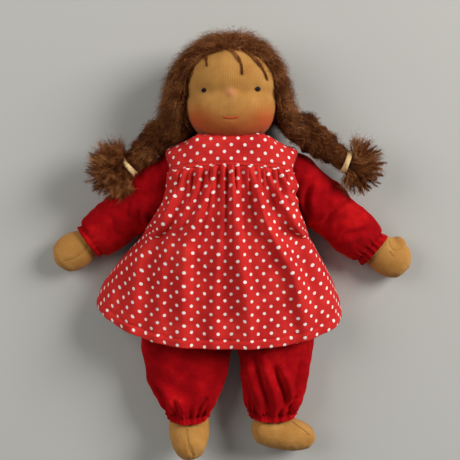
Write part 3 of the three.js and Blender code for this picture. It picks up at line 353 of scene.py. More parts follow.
class Shader:
    """A material's node tree, with short calls for adding and linking nodes."""

    def __init__(self, name, **settings):
        self.material = bpy.data.materials.new(name)
        self.material.use_nodes = True
        self.tree = self.material.node_tree
        self.surface = self.tree.nodes["Principled BSDF"]
        for key, value in settings.items():
            self.surface.inputs[key.replace("_", " ")].default_value = value

    def add(self, kind, inputs=None, **settings):
        node = self.tree.nodes.new("ShaderNode" + kind)
        for key, value in settings.items():
            setattr(node, key, value)
        for key, value in (inputs or {}).items():
            if isinstance(value, bpy.types.NodeSocket):
                self.tree.links.new(value, node.inputs[key])
            else:
                node.inputs[key].default_value = value
        return node

    def finish(self, colour, normal=None):
        self.tree.links.new(colour, self.surface.inputs["Base Color"])
        if normal is not None:
            self.tree.links.new(normal, self.surface.inputs["Normal"])
        return self.material

    def attribute(self, name):
        return self.add("Attribute", attribute_name=name).outputs["Fac"]

    def coordinate(self, kind):
        return self.add("TexCoord").outputs[kind]

    def noise(self, vector, scale, detail=3.0, roughness=0.55):
        inputs = {"Vector": vector, "Scale": scale, "Detail": detail, "Roughness": roughness}
        return self.add("TexNoise", inputs).outputs["Fac"]

    def ramp(self, value, *stops):
        node = self.add("ValToRGB", {"Fac": value})
        elements = node.color_ramp.elements
        while len(elements) < len(stops):
            elements.new(0.5)
        for element, (place, colour) in zip(elements, stops):
            element.position = place
            element.color = (*colour, 1)
        return node.outputs["Color"]

    def mix(self, factor, *colours):
        """Mixes two colours, which the node takes at its inputs 6 and 7 and gives back at output 2."""
        inputs = {0: factor}
        for number, colour in zip((6, 7), colours):
            inputs[number] = colour if isinstance(colour, bpy.types.NodeSocket) else (*colour, 1)
        return self.add("Mix", inputs, data_type="RGBA").outputs[2]

    def math(self, operation, a, b):
        return self.add("Math", {0: a, 1: b}, operation=operation).outputs[0]

    def vector(self, operation, inputs, output=0):
        return self.add("VectorMath", inputs, operation=operation).outputs[output]

    def spread(self, value, low, high, to_low=0.0, to_high=1.0):
        inputs = {"Value": value, "From Min": low, "From Max": high, "To Min": to_low, "To Max": to_high}
        return self.add("MapRange", inputs).outputs["Result"]

    def bands(self, vector, period, direction, distortion=0.0):
        """Waves with a period in metres."""
        inputs = {"Vector": vector, "Scale": TAU / 20 / period, "Distortion": distortion, "Detail": 1.0}
        return self.add("TexWave", inputs, bands_direction=direction).outputs["Fac"]

    def bump(self, height, distance, strength, normal=None):
        inputs = {"Height": height, "Distance": distance, "Strength": strength}
        if normal is not None:
            inputs["Normal"] = normal
        return self.add("Bump", inputs).outputs["Normal"]


def skin_material(name, blushed=False):
    shader = Shader(name, Roughness=0.85, Specular_IOR_Level=0.15, Sheen_Weight=0.06, Sheen_Roughness=0.5)
    place = shader.coordinate("Object")
    cloth = shader.coordinate("UV")
    colour = shader.ramp(
        shader.noise(place, 55, 4),
        (0.3, (0.37, 0.165, 0.034)), (0.52, (0.44, 0.208, 0.047)), (0.75, (0.51, 0.26, 0.068)))
    wales = shader.bands(cloth, 0.00155, "X", 2.2)
    courses = shader.bands(cloth, 0.0012, "Y", 2.4)
    knit = shader.math("ADD", shader.math("MULTIPLY", wales, 0.55), shader.math("MULTIPLY", courses, 0.45))
    colour = shader.mix(shader.spread(knit, 0.0, 1.0, 0.34, 0.0), colour, (0.20, 0.075, 0.014))
    if blushed:
        # This mask and its reddish colour hold the cheeks' real blush and painted shade along the underside
        # of the chin
        uneven = shader.spread(shader.noise(place, 90, 3), 0.3, 0.7, 0.88, 1.05)
        cheek_and_chin_shade = shader.math("MULTIPLY", shader.attribute("blush"), uneven)
        colour = shader.mix(cheek_and_chin_shade, colour, (0.45, 0.068, 0.012))
        colour = shader.mix(shader.attribute("nose"), colour, (0.56, 0.20, 0.10))
    fuzz = shader.bump(shader.noise(place, 1800, 2), 0.0002, 0.25)
    return shader.finish(colour, shader.bump(knit, 0.0003, 0.5, fuzz))


def hair_material():
    shader = Shader("mohair", Roughness=0.62, Specular_IOR_Level=0.12)
    # Each hair's value holds its random tone and painted shade: darker deep in the hair and braids, paler
    # outside and on rising locks
    tint = shader.attribute("tint")
    waves = shader.spread(shader.noise(shader.coordinate("Object"), 55, 3), 0.3, 0.7, -0.32, 0.16)
    return shader.finish(shader.ramp(
        shader.math("ADD", tint, waves),
        (0.0, (0.028, 0.0072, 0.0018)), (0.35, (0.115, 0.029, 0.0065)),
        (0.65, (0.27, 0.082, 0.020)), (1.0, (0.58, 0.26, 0.092))))


def cotton_material():
    shader = Shader(
        "dotted_cotton", Roughness=0.75, Specular_IOR_Level=0.15, Sheen_Weight=0.03, Sheen_Roughness=0.4)
    cloth = shader.coordinate("UV")
    place = shader.coordinate("Object")
    wobble = shader.add("TexNoise", {"Vector": cloth, "Scale": 900.0, "Detail": 1.0}).outputs["Color"]
    shift = shader.vector("SUBTRACT", {0: wobble, 1: (0.5, 0.5, 0.5)})
    moved = shader.vector("ADD", {0: cloth, 1: shader.vector("SCALE", {0: shift, "Scale": 0.0002})})
    cells = 1 / (DOT_SPACING * MM)
    turned = shader.add("Mapping", {
        "Vector": moved, "Rotation": (0, 0, math.radians(45)), "Scale": (cells, cells, 0)}).outputs[0]
    cell = shader.vector("SUBTRACT", {0: shader.vector("FRACTION", {0: turned}), 1: (0.5, 0.5, 0)})
    edge = DOT_SIZE / DOT_SPACING / 2
    blur = 0.012
    dots = shader.spread(shader.vector("LENGTH", {0: cell}, "Value"), edge - blur, edge + blur, 1.0, 0.0)
    threads = [shader.bands(cloth, 0.00042, direction, 0.4) for direction in ("X", "Y")]
    weave = shader.math("MULTIPLY", *threads)
    red = shader.ramp(
        shader.noise(place, 38, 4),
        (0.3, (0.48, 0.011, 0.010)), (0.55, (0.59, 0.019, 0.015)), (0.8, (0.71, 0.033, 0.022)))
    red = shader.mix(shader.spread(weave, 0.0, 0.6, 0.22, 0.0), red, (0.30, 0.004, 0.005))
    white = shader.mix(shader.spread(weave, 0.0, 0.6, 0.2, 0.0), (0.82, 0.76, 0.69), (0.66, 0.36, 0.31))
    pucker = shader.bump(shader.noise(place, 220, 3), 0.0012, 0.35)
    return shader.finish(shader.mix(dots, red, white), shader.bump(weave, 0.00012, 0.5, pucker))


def velour_material():
    shader = Shader(
        "velour", Roughness=0.9, Specular_IOR_Level=0.05, Sheen_Weight=0.5, Sheen_Roughness=0.4,
        Sheen_Tint=(1.0, 0.05, 0.03, 1))
    place = shader.coordinate("Object")
    nap = shader.noise(place, 42, 5, 0.62)
    pile = shader.noise(place, 1500, 2)
    colour = shader.ramp(
        nap, (0.3, (0.21, 0.001, 0.003)), (0.52, (0.36, 0.002, 0.005)), (0.76, (0.60, 0.009, 0.009)))
    colour = shader.mix(shader.spread(pile, 0.35, 0.65, 0.45, 0.0), colour, (0.16, 0.0, 0.001))
    return shader.finish(colour, shader.bump(pile, 0.0004, 0.7, shader.bump(nap, 0.0012, 0.4)))


def thread_material(name, colour, dark, twist=0.0007, roughness=0.5):
    shader = Shader(name, Roughness=roughness, Specular_IOR_Level=0.2, Sheen_Weight=0.05)
    ply = shader.bands(shader.coordinate("Object"), twist, "DIAGONAL", 1.5)
    twisted = shader.mix(shader.spread(ply, 0.2, 0.9), dark, colour)
    return shader.finish(twisted, shader.bump(ply, 0.0002, 0.6))


def clouded_material(name, noise, dark, light, bump, **settings):
    """A material whose colour and bump both follow one noise."""
    shader = Shader(name, **settings)
    cloud = shader.noise(shader.coordinate("Object"), *noise)
    return shader.finish(shader.ramp(cloud, (0.3, dark), (0.7, light)), shader.bump(cloud, *bump))


FACE = skin_material("face_jersey", blushed=True)
SKIN = skin_material("jersey")
HAIR = hair_material()
# Dark layer under the hairs of the head and inside the braids: the mohair's brown, darkened as painted shade
# among the fibres
SHADED_HAIR_CORE = clouded_material(
    "shaded_hair_core", (420, 3, 0.7), (0.024, 0.007, 0.002), (0.09, 0.027, 0.008), (0.001, 0.8),
    Roughness=0.8, Specular_IOR_Level=0.15)
COTTON = cotton_material()
VELOUR = velour_material()
ELASTIC = thread_material("elastic", (0.84, 0.62, 0.32), (0.62, 0.38, 0.15), 0.0009, 0.6)
EYE_THREAD = thread_material("eye_thread", (0.016, 0.012, 0.022), (0.004, 0.003, 0.006), 0.0005, 0.7)
MOUTH_THREAD = thread_material("mouth_thread", (0.60, 0.050, 0.010), (0.42, 0.028, 0.006), 0.0005, 0.8)
SEAM_THREAD = thread_material("seam_thread", (0.14, 0.06, 0.02), (0.06, 0.025, 0.008))
RED_THREAD = thread_material("red_thread", (0.42, 0.012, 0.010), (0.22, 0.004, 0.004), 0.0006)
LINEN = thread_material("linen_thread", (0.80, 0.72, 0.54), (0.55, 0.46, 0.30))
WOOL = clouded_material(
    "wool", (260, 6, 0.7), (0.60, 0.52, 0.38), (0.85, 0.79, 0.65), (0.002, 0.8),
    Roughness=0.95, Specular_IOR_Level=0.1, Sheen_Weight=0.3)
BUTTON = clouded_material(
    "pearl_button", (240, 3), (0.78, 0.72, 0.60), (0.93, 0.90, 0.84), (0.0003, 0.15),
    Roughness=0.22, Specular_IOR_Level=0.6, Coat_Weight=0.4, Coat_Roughness=0.1)


# Head

# Forms of the face: height, then place and reach outwards, and place and reach up the face
FACE_FORMS = [
    (2.3, 0, 4.6, NOSE_Y, 3.9),
    (-1.0, EYE_X, 5.5, EYE_Y, 4.5),
    (1.5, 25, 13, 108, 12),
    (0.8, 0, 26, 146, 12),
    (-0.5, 0, 7, MOUTH_Y, 2.2),
]


def head_half(y, half):
    share = np.clip(np.abs(y - HEAD_MIDDLE_Y) / (HEAD_LENGTH / 2), 0, 1)
    power = np.where(y < HEAD_MIDDLE_Y, CHIN_POWER, CROWN_POWER)
    line = EYE_LINE_DEPTH * bell(y - EYE_LINE_Y, EYE_LINE_SPREAD)
    return np.maximum(half * (1 - share**power) ** (1 / power) - line, 0.4)


def face_relief(x, y):
    """How far the face stands out of the plain form."""
    return sum(
        high * bell(np.abs(x) - out, wide) * bell(y - up, tall)
        for high, out, wide, up, tall in FACE_FORMS)


def face_z(x, y):
    wide, high = head_half(y, HEAD_WIDTH / 2), head_half(y, HEAD_DEPTH / 2)
    return HEAD_Z + high * np.sqrt(np.maximum(1 - (x / wide) ** 2, 0)) + face_relief(x, y)


def make_head():
    rows, columns = 170, 200
    y = HEAD_MIDDLE_Y - HEAD_LENGTH / 2 * np.cos(np.linspace(0.02, 0.995, rows) * math.pi)
    angle = around(columns, -0.25 * columns)
    x = head_half(y, HEAD_WIDTH / 2)[:, None] * np.cos(angle)
    z = HEAD_Z + head_half(y, HEAD_DEPTH / 2)[:, None] * np.sin(angle)
    grid = np.stack([x, np.broadcast_to(y[:, None], x.shape), z], -1)
    front = smooth(z, HEAD_Z + 4, HEAD_Z + 18)
    out = unit(np.stack([x / HEAD_WIDTH**2, 0 * x, (z - HEAD_Z) / HEAD_DEPTH**2], -1))
    grid = raised(grid, out, face_relief(x, grid[..., 1]) * front)
    grid = raised(grid, out, 0.35 * ripple(grid, 30, 4))
    gather = bell(grid[..., 1] - CHIN_Y, 9) * (1 - smooth(z, HEAD_Z, HEAD_Z + 20))
    grid = raised(grid, out, 0.8 * np.cos(26 * angle) * gather)
    x, y, z = grid[..., 0], grid[..., 1], grid[..., 2]
    # Blush on the cheeks, and a band along the chin that darkens its underside: painted shade, in the same
    # reddish colour as the blush
    cheek = 0.95 * bell(np.abs(x) - 36, 18) * bell(y - 99, 13)
    chin_shade = 0.95 * bell(y - CHIN_Y, 15)
    blush = np.clip((cheek + chin_shade - cheek * chin_shade) * smooth(z, 22, 46), 0, 0.96)
    rosy = 0.5 * bell(x, 5.5) * bell(y - NOSE_Y - 0.5, 4.5) * front
    head = surface("head", grid, FACE, True, arc_uv(grid, True), (0, -1), blush=blush, nose=rosy)
    dress(head, "skin", "torso", nodes=["head_skin"], fill=0.95)
    neck = np.array([
        section(np.array([0, d, lerp(31, HEAD_Z, smooth(d, 78, 98))]), 90, 0, NECK_RADIUS, NECK_RADIUS, 2, 60)
        for d in np.linspace(77, 104, 16)])
    neck += (0.4 * np.cos(15 * around(60)))[None, :, None] * unit(neck - neck.mean(1, keepdims=True))
    dress(surface("neck", neck, SKIN, True, arc_uv(neck, True)), "skin", "torso")


def make_eyes():
    for name, s in SIDES.items():
        grids = []
        for offset in np.linspace(-0.93, 0.93, 9):
            half = EYE_SIZE / 2 * math.sqrt(max(1 - offset**2, 0.05))
            x = np.full(9, s.side * EYE_X + offset * EYE_SIZE / 2)
            t = np.linspace(-1, 1, 9)
            y = EYE_Y + half * t + EYE_TILT * s.side
            z = face_z(x, y) + 0.45 * np.sqrt(1 - 0.9 * t**2) + 0.25 * (1 - (offset / 0.93) ** 2)
            grids.append(tube(np.stack([x, y, z], -1), 0.33 * np.sqrt(1 - 0.75 * t**2)))
        eye = joined(name + "_eye_stitches", grids, EYE_THREAD)
        dress(eye, "eye_thread", "torso", nodes=[name + "_eye"])


def make_mouth():
    grids = []
    ends = np.linspace(-1, 1, 7)
    for a, b in zip(ends[:-1], ends[1:]):
        t = np.linspace(a - 0.03, b + 0.03, 9)
        x = t * MOUTH_WIDTH / 2
        y = MOUTH_Y + MOUTH_CURVE * t**2
        z = face_z(x, y) + 0.1 + 0.3 * np.sin(np.linspace(0.1, 0.9, 9) * math.pi)
        grids.append(tube(np.stack([x, y, z], -1), 0.3 + 0.31 * np.sin(np.linspace(0.12, 0.88, 9) * math.pi)))
    for side in (-1, 1):
        t = np.linspace(0, 1, 6)
        x = side * (MOUTH_WIDTH / 2 + MOUTH_CURVE * t)
        y = MOUTH_Y + MOUTH_CURVE * (1 + t)
        grids.append(tube(np.stack([x, y, face_z(x, y) + 0.15], -1), 0.34 * (1 - 0.5 * t)))
    mouth = joined("mouth_stitches", grids, MOUTH_THREAD)
    dress(mouth, "mouth_thread", "torso", nodes=["mouth_stitch"])


# Hair

HEAD_CENTRE = np.array([0, 130, 40])
CURL_LIMIT = 8.0
# Steps that the hair's surface is worked out in, each way
NET_STEPS = 60
# Layers of long hair: depth of the deepest and of the outermost hairs as shares, then curl
HAIR_LAYERS = {"inner": (-0.075, -0.03, 1.2), "outer": (-0.045, 0.03, 2.5)}
LONG_HAIRS = 2450
SHORT_HAIRS = 3900

# Rows of the hair's surface from the parting to the braid, each from the face round the outside to the back.
# A place is outwards from the parting, up the head and up from the bed.
HAIR_NET = {
    "right": [
        [(-3, 165, 75), (-3, 177, 66), (-3, 182.5, 47), (-3, 180, 22), (-3, 150, 2.5), (-3, 104, 2)],
        [(20, 161, 72), (21.5, 171, 63), (24, 176, 45), (26, 169, 20), (24, 146, 2.5), (21, 100, 2)],
        [(37, 147, 63), (41, 155, 57), (46, 158, 42), (48, 150, 18), (43, 134, 2), (36, 97, 2)],
        [(42.5, 126, 56), (49.5, 132, 53), (56.5, 136, 40), (57.5, 129, 18), (52, 117, 2.5), (43, 95, 3)],
        [(42, 106, 51), (50, 110, 52), (60, 115, 41), (61.5, 109, 24), (56, 101, 9), (45, 90, 6)],
        [(40, 91, 43), (50, 96, 48), (61.5, 103, 42), (64, 101, 25), (59, 94, 9), (50, 86, 10)],
    ],
    "left": [
        [(-3, 165, 75), (-3, 177, 66), (-3, 182.5, 47), (-3, 180, 22), (-3, 150, 2.5), (-3, 104, 2)],
        [(20, 161, 72), (21, 171, 63), (23, 175.5, 45), (25, 169, 20), (24, 146, 2.5), (21, 102, 2)],
        [(36, 148, 63), (39, 155, 57), (42, 157, 42), (44, 150, 18), (41, 134, 2), (33, 105, 3)],
        [(42, 127, 56), (46, 132, 53), (50, 135, 40), (51.5, 129, 18), (48, 119, 3), (42, 108, 6)],
        [(44.5, 111, 51), (48, 114, 50), (53.5, 117, 41), (56, 113, 24), (53, 107, 11), (48, 103, 13)],
        [(49, 99, 45), (53, 102, 48), (60.5, 107, 42), (63.5, 104, 26), (60, 98, 14), (54, 94, 16)],
    ],
}
# Two more rows lie round the root of the braid: the places of a row as shares of its half width and half
# height, then each row's share and how far along the braid it lies
BRAID_ROOT_RING = [(-0.95, 0.5), (-0.2, 1.0), (0.75, 0.7), (1.0, -0.1), (0.45, -0.85), (-0.75, -0.7)]
BRAID_ROOT_ROWS = [(1.0, 2), (0.9, 10)]
BRAID_ROOT_Z = 36.5
BRAID_HALF_HEIGHT = 12.5

# Loose strands over the forehead: places in plan
FRINGE = {
    "fringe_right": [(-26, 166), (-23.6, 161), (-22.4, 155), (-21.6, 149.5)],
    "fringe_middle": [(-3, 168), (1.5, 163), (6.4, 156.5), (9.4, 149), (10.0, 141)],
    "fringe_left": [(12, 167), (16.5, 161.5), (24.5, 153.5), (30, 145.6), (33.2, 138)],
}


def frizz(paths, amount, waves, rng):
    """Curls paths (n, k, 3) by amount (n,) or a number, in a few waves each."""
    n, k = paths.shape[:2]
    t = np.linspace(0, 1, k)[None, :, None]
    curl = np.zeros(paths.shape)
    for octave in (1.0, 2.3):
        count = rng.uniform(0.6, 1.4, (n, 1, 1)) * waves * octave
        phase = rng.uniform(0, TAU, (n, 1, 3))
        direction = rng.normal(size=(n, 1, 3))
        wave = np.sin(TAU * count * t + phase) * direction
        curl += wave * np.reshape(amount, (-1, 1, 1)) / octave * np.minimum(4 * t + 0.15, 1)
    size = np.linalg.norm(curl, axis=-1, keepdims=True)
    return paths + curl * np.minimum(1, CURL_LIMIT / np.maximum(size, CURL_LIMIT / 2))


def fibres(name, paths, thick, tint, body, tip=0.25, spread=0.0, nodes=()):
    """Many thin hairs as one mesh: paths (n, k, 3), with three sides each and a tapering tip."""
    n, k = paths.shape[:2]
    tangent = unit(np.gradient(paths, axis=1))
    rng = np.random.default_rng(n)
    side = unit(np.cross(tangent, unit(rng.normal(size=(n, 1, 3)))))
    radius = thick / 2 * lerp(1.0, tip, np.linspace(0, 1, k) ** 2)
    ring = circle(around(3), side[:, :, None], np.cross(tangent, side)[:, :, None])
    points = keep_above(paths[:, :, None] + ring * radius[None, :, None, None])
    faces = (grid_quads(k, 3)[None] + (np.arange(n) * k * 3)[:, None, None]).reshape(-1, 4)
    tints = np.repeat(np.asarray(tint), 3 * k) + np.tile(np.repeat(np.linspace(0, spread, k), 3), n)
    return dress(new_object(name, points, faces, HAIR, tint=tints), "hair", body, nodes=nodes)


def braid_line(s):
    along = plan_way(heading_out(s, s.braid_angle))
    return np.array([s.side * ARMHOLE_X, s.braid_y, BRAID_ROOT_Z]), along, left_of(along) * s.side


def hair_net(name, s):
    root, along, across = braid_line(s)
    wide, high = across * s.braid_width / 2, UP * BRAID_HALF_HEIGHT
    rings = [[root + (wide * a + high * b) * share + along * step for a, b in BRAID_ROOT_RING]
             for share, step in BRAID_ROOT_ROWS]
    return np.concatenate([np.array(HAIR_NET[name], float) * [s.side, 1, 1], rings], 0)


def hair_points(net, round_share, start, end, steps):
    """Paths (n, steps, 3) along the hair's surface at shares round it, from and to shares of its length."""
    columns = np.stack([through(row, NET_STEPS) for row in through(net, NET_STEPS)])
    last = NET_STEPS - 1
    t = start[:, None] + (end - start)[:, None] * np.linspace(0, 1, steps)[None]
    i = np.clip(t * last, 0, last - 0.001)
    j = np.clip(round_share * last, 0, last - 0.001)[:, None] * np.ones((1, steps))
    i0, j0 = i.astype(int), j.astype(int)
    fi, fj = (i - i0)[..., None], (j - j0)[..., None]
    return (
        columns[i0, j0] * (1 - fi) * (1 - fj) + columns[i0 + 1, j0] * fi * (1 - fj)
        + columns[i0, j0 + 1] * (1 - fi) * fj + columns[i0 + 1, j0 + 1] * fi * fj)


def make_hair(name, s):
    rng = np.random.default_rng(HAIR_SEED + s.side)
    net = hair_net(name, s)
    core = hair_points(net, np.linspace(0, 1, 60), np.zeros(60), np.ones(60), 70)
    core = HEAD_CENTRE + (core - HEAD_CENTRE) * (0.945 - 0.012 * ripple(core, 9, 5)[..., None])
    # A sheet under the long hairs, in the dark colour of painted shade among the fibres
    under = surface(name + "_hair_base", keep_above(core, 0.3), SHADED_HAIR_CORE)
    dress(under, "hair", "torso", nodes=["hair_cap"] if name == "right" else ())
    thicken(under, -1.5)

    for layer, (low, high, curl) in HAIR_LAYERS.items():
        count = LONG_HAIRS
        where = rng.uniform(0, 1, count) ** 0.85
        start = rng.uniform(0, 0.1, count) + (rng.uniform(size=count) < 0.35) * rng.uniform(0, 0.55, count)
        end = np.minimum(start + rng.uniform(0.6, 1.0, count), 1.0)
        paths = hair_points(net, where + rng.normal(0, 0.004, count), start, end, 13)
        depth = rng.uniform(low, high, count)[:, None] * np.minimum(1, 0.3 + 4 * np.linspace(0, 1, 13))
        paths = HEAD_CENTRE + (paths - HEAD_CENTRE) * (1 + depth)[..., None]
        paths = frizz(paths, rng.gamma(4.0, curl / 4.0, count), 5, rng)
        # Hairs deep in the layer are tinted darker and the outermost paler: painted shade inside the hair,
        # over a random tone
        tint = 0.50 + 4.5 * depth[:, -1] + rng.normal(0, 0.2, count)
        fibres(name + "_hair_" + layer, paths, 0.36, tint, "torso", tip=0.5)

    for layer in ("fuzz", "halo"):
        count = SHORT_HAIRS
        where = rng.uniform(0, 0.75, count)
        start = rng.uniform(0, 0.72, count)
        end = np.minimum(start + rng.uniform(0.02, 0.12, count), 0.78)
        paths = hair_points(net, where, start, end, 9)
        away = unit(unit(paths[:, :1] - HEAD_CENTRE) + rng.normal(0, 0.5, (count, 1, 3)))
        lift = np.linspace(0, 1, 9)[None, :, None] * np.minimum(rng.gamma(2.0, 3.2, (count, 1, 1)), 12)
        paths = frizz(paths + away * lift, rng.gamma(3.0, 0.5, count), 2.2, rng)
        fibres(name + "_hair_" + layer, paths, 0.22, 0.66 + rng.normal(0, 0.2, count), "torso")


def make_fringe():
    rng = np.random.default_rng(FRINGE_SEED)
    count, steps = 110, 14
    t = np.linspace(0, 1, steps)
    width = lerp(2.3, 0.9, t) + 0.3 * np.sin(t * 15)
    for name, places in FRINGE.items():
        plan = through(places, steps)[None] + rng.normal(0, 0.36, (count, 1, 2)) * width[None, :, None]
        z = face_z(plan[..., 0], plan[..., 1]) + 0.3 + rng.uniform(0, 1, (count, 1)) * width * 0.7
        paths = frizz(np.concatenate([plan, z[..., None]], -1), 0.22, 4, rng)
        fibres(name + "_hairs", paths, 0.28, 0.56 + rng.normal(0, 0.12, count), "torso", nodes=[name])


# Braids, and the loose ends below their elastics

BRAID_TURNS = 1.55
BRAID_HAIRS = 620
BRAID_FUZZ = 1900
TASSEL_FAN = 92
TASSEL_LOCKS = 110
LOCK_HAIRS = 30
TASSEL_FUZZ = 1100
ELASTIC_RADIUS = 9.4
# The two turns of an elastic: place along the braid, what it is wider and how far it leans
ELASTIC_TURNS = [(-1.6, 0.0, 0.10), (1.5, 0.35, -0.14)]


def make_braid(name, s):
    rng = np.random.default_rng(BRAID_SEED + s.side)
    root, along, across = braid_line(s)
    tied = centre(name + "_braid_elastic")
    body = name + "_braid"
    length = float((tied - root) @ along)
    d = np.linspace(-9, length, 64)
    share = np.clip(d / length, 0, 1)
    half = lerp(s.braid_width, 17, smooth(share, 0.25, 1.05)) / 2 * lerp(0.72, 1, smooth(d, -6, 16))
    thick = half * 0.54
    cores, all_paths, tints = [], [], []
    for strand in range(3):
        phase = TAU * (BRAID_TURNS * share + strand / 3)
        sway = half * 0.52 * np.sin(phase)
        rise = half * 0.324 * np.sin(2 * phase) * smooth(share, 0, 0.12)
        line = root + d[:, None] * along + sway[:, None] * across + rise[:, None] * UP
        cores.append(tube(line, thick * 0.8, 12))
        ring = np.sqrt(rng.uniform(0.35, 1, BRAID_HAIRS)) * 1.06
        swirl = rng.uniform(0, TAU, BRAID_HAIRS)[:, None] + share[None] * 1.6
        offset = ring[:, None, None] * circle(swirl, across, UP)
        all_paths.append((line[None] + offset * thick[None, :, None])[:, ::4])
        # Hairs near the middle of a strand are tinted darker: painted shade inside the braid
        tints.append(0.46 + 0.3 * (ring - 0.9) + rng.normal(0, 0.13, BRAID_HAIRS))
    # The strand cores take the dark painted shade colour of the hair's under-layer
    dress(joined(name + "_braid_core", cores, SHADED_HAIR_CORE), "hair", body, nodes=[body])
    paths = frizz(np.vstack(all_paths), 0.75, 4, rng)
    fibres(name + "_braid_hairs", paths, 0.34, np.concatenate(tints), body, tip=0.8)

    count = BRAID_FUZZ
    at = rng.uniform(0, 0.97, count)
    spin = rng.uniform(0, TAU, count)
    out = circle(spin, across, UP)
    edge = np.interp(at, share, half) * (0.86 + 0.1 * np.sin(at * 16))
    foot = root + (at * length)[:, None] * along + out * edge[:, None] * [1, 1, 0.92]
    t = np.linspace(0, 1, 8)[None, :, None]
    reach = np.minimum(rng.gamma(2.0, 1.3, (count, 1, 1)), 6.5)
    drift = rng.normal(5, 4, (count, 1, 1))
    paths = frizz(foot[:, None] + t**1.4 * reach * out[:, None] + t * drift * along, 1.1, 1.8, rng)
    fibres(name + "_braid_fuzz", paths, 0.2, 0.62 + rng.normal(0, 0.16, count), body)
    make_elastic(name, s, tied)
    make_tassel(name, s, tied, along, rng)


def make_elastic(name, s, tied):
    along = plan_way(heading_out(s, s.tie_angle))
    across = left_of(along)
    steps, columns = 72, 14
    turn = np.append(around(steps), 0)
    points, faces = [], []
    for number, (shift, grow, lean) in enumerate(ELASTIC_TURNS):
        radius = ELASTIC_RADIUS + grow + 0.12 * np.sin(3 * turn + shift)
        line = tied + along * (shift + 8 * lean * np.sin(turn))[:, None]
        line = line + across * (radius * np.cos(turn))[:, None] + UP * (radius * np.sin(turn))[:, None]
        tangent = unit(np.gradient(line, axis=0))
        tangent[0] = tangent[-1] = unit(tangent[0] + tangent[-1])
        side = unit(np.cross(tangent, along))
        other = np.cross(tangent, side)
        angle = around(columns)
        rib = (1 + 0.035 * np.cos(7 * angle))[:, None]
        ring = 1.2 * np.cos(angle)[:, None] * side[:, None] + 1.75 * np.sin(angle)[:, None] * other[:, None]
        points.append((line[:, None] + ring * rib)[:-1].reshape(-1, 3))
        quads = grid_quads(steps + 1, columns) % (steps * columns)
        faces += (quads + number * steps * columns).tolist()
    ring = new_object(name + "_hair_tie", np.vstack(points), faces, ELASTIC)
    dress(ring, "elastic", name + "_braid", nodes=[name + "_braid_elastic"])


def tassel_ways(s, count, flatten, lift, forward, rng):
    """Random ways out of a tassel: turn, rise, direction and how far the tassel reaches there."""
    turn = np.radians(rng.uniform(-TASSEL_FAN, TASSEL_FAN, count))
    rise = rng.uniform(-1, 1, count)
    flat = np.sqrt(1 - (flatten * rise) ** 2)
    sideways = left_of(forward) * s.side
    way = (np.cos(turn) * flat)[:, None] * forward + (np.sin(turn) * flat)[:, None] * sideways
    reach = s.tassel_length * (1 - 0.36 * np.abs(turn / np.radians(95)) ** 2.2)
    return turn, rise, way + (lift * rise)[:, None] * UP, reach


def make_tassel(name, s, tied, along, rng):
    forward = plan_way(heading_out(s, s.tassel_angle))
    sideways = left_of(forward) * s.side
    body = name + "_braid"
    steps = 10
    t = np.linspace(0, 1, steps)[None, :, None]
    width = np.interp(np.linspace(0, 1, steps), [0, 0.25, 0.8, 1], [0.9, 1.9, 1.7, 0.6])
    for layer, longest in (("inner", 0.78), ("outer", 1.0)):
        turn, rise, way, reach = tassel_ways(s, TASSEL_LOCKS, 0.92, 0.5, forward, rng)
        length = reach * longest * rng.uniform(0.88, 1.05, TASSEL_LOCKS)
        start = tied + along * 1.5 + sideways * (6 * np.sin(turn))[:, None] + UP * (6 * rise)[:, None]
        bend = start + along * 7.0
        tip = tied + along * 2 + way * length[:, None]
        paths = start[:, None] * (1 - t) ** 2 + 2 * bend[:, None] * t * (1 - t) + tip[:, None] * t**2
        paths = frizz(paths, s.tassel_curl, 1.4, rng)
        twist = rng.uniform(0, TAU, (TASSEL_LOCKS, LOCK_HAIRS, 1))
        off_middle = np.sqrt(rng.uniform(0, 1, (TASSEL_LOCKS, LOCK_HAIRS)))[..., None, None]
        offset = off_middle * width[None, None, :, None] * circle(twist, sideways, UP)
        hairs = (paths[:, None] + offset).reshape(-1, steps, 3)
        hairs = frizz(hairs, rng.gamma(3.0, s.tassel_curl / 4, len(hairs)), 2.5, rng)
        # Rising locks are tinted paler and sinking ones darker: painted light above and painted shade below,
        # over a random tone per lock
        tint = np.repeat(rng.normal(0.46, 0.11, TASSEL_LOCKS) + 0.1 * rise, LOCK_HAIRS)
        tint = tint + rng.normal(0, 0.13, len(hairs))
        nodes = [name + "_tassel"] if layer == "outer" else ()
        fibres(name + "_tassel_" + layer, hairs, 0.3, tint, body, tip=0.4, spread=0.14, nodes=nodes)

    count = TASSEL_FUZZ
    way, reach = tassel_ways(s, count, 0.9, 0.52, forward, rng)[2:]
    foot = tied + way * (reach * rng.uniform(0.6, 0.95, count))[:, None]
    strays = (way + rng.normal(0, 0.3, (count, 3))) * rng.uniform(2, 9, (count, 1))
    paths = foot[:, None] + np.linspace(0, 1, 8)[None, :, None] * strays[:, None]
    paths = frizz(paths, 1.2, 1.8, rng)
    fibres(name + "_tassel_fuzz", paths, 0.19, 0.66 + rng.normal(0, 0.15, count), body)


# Cloth


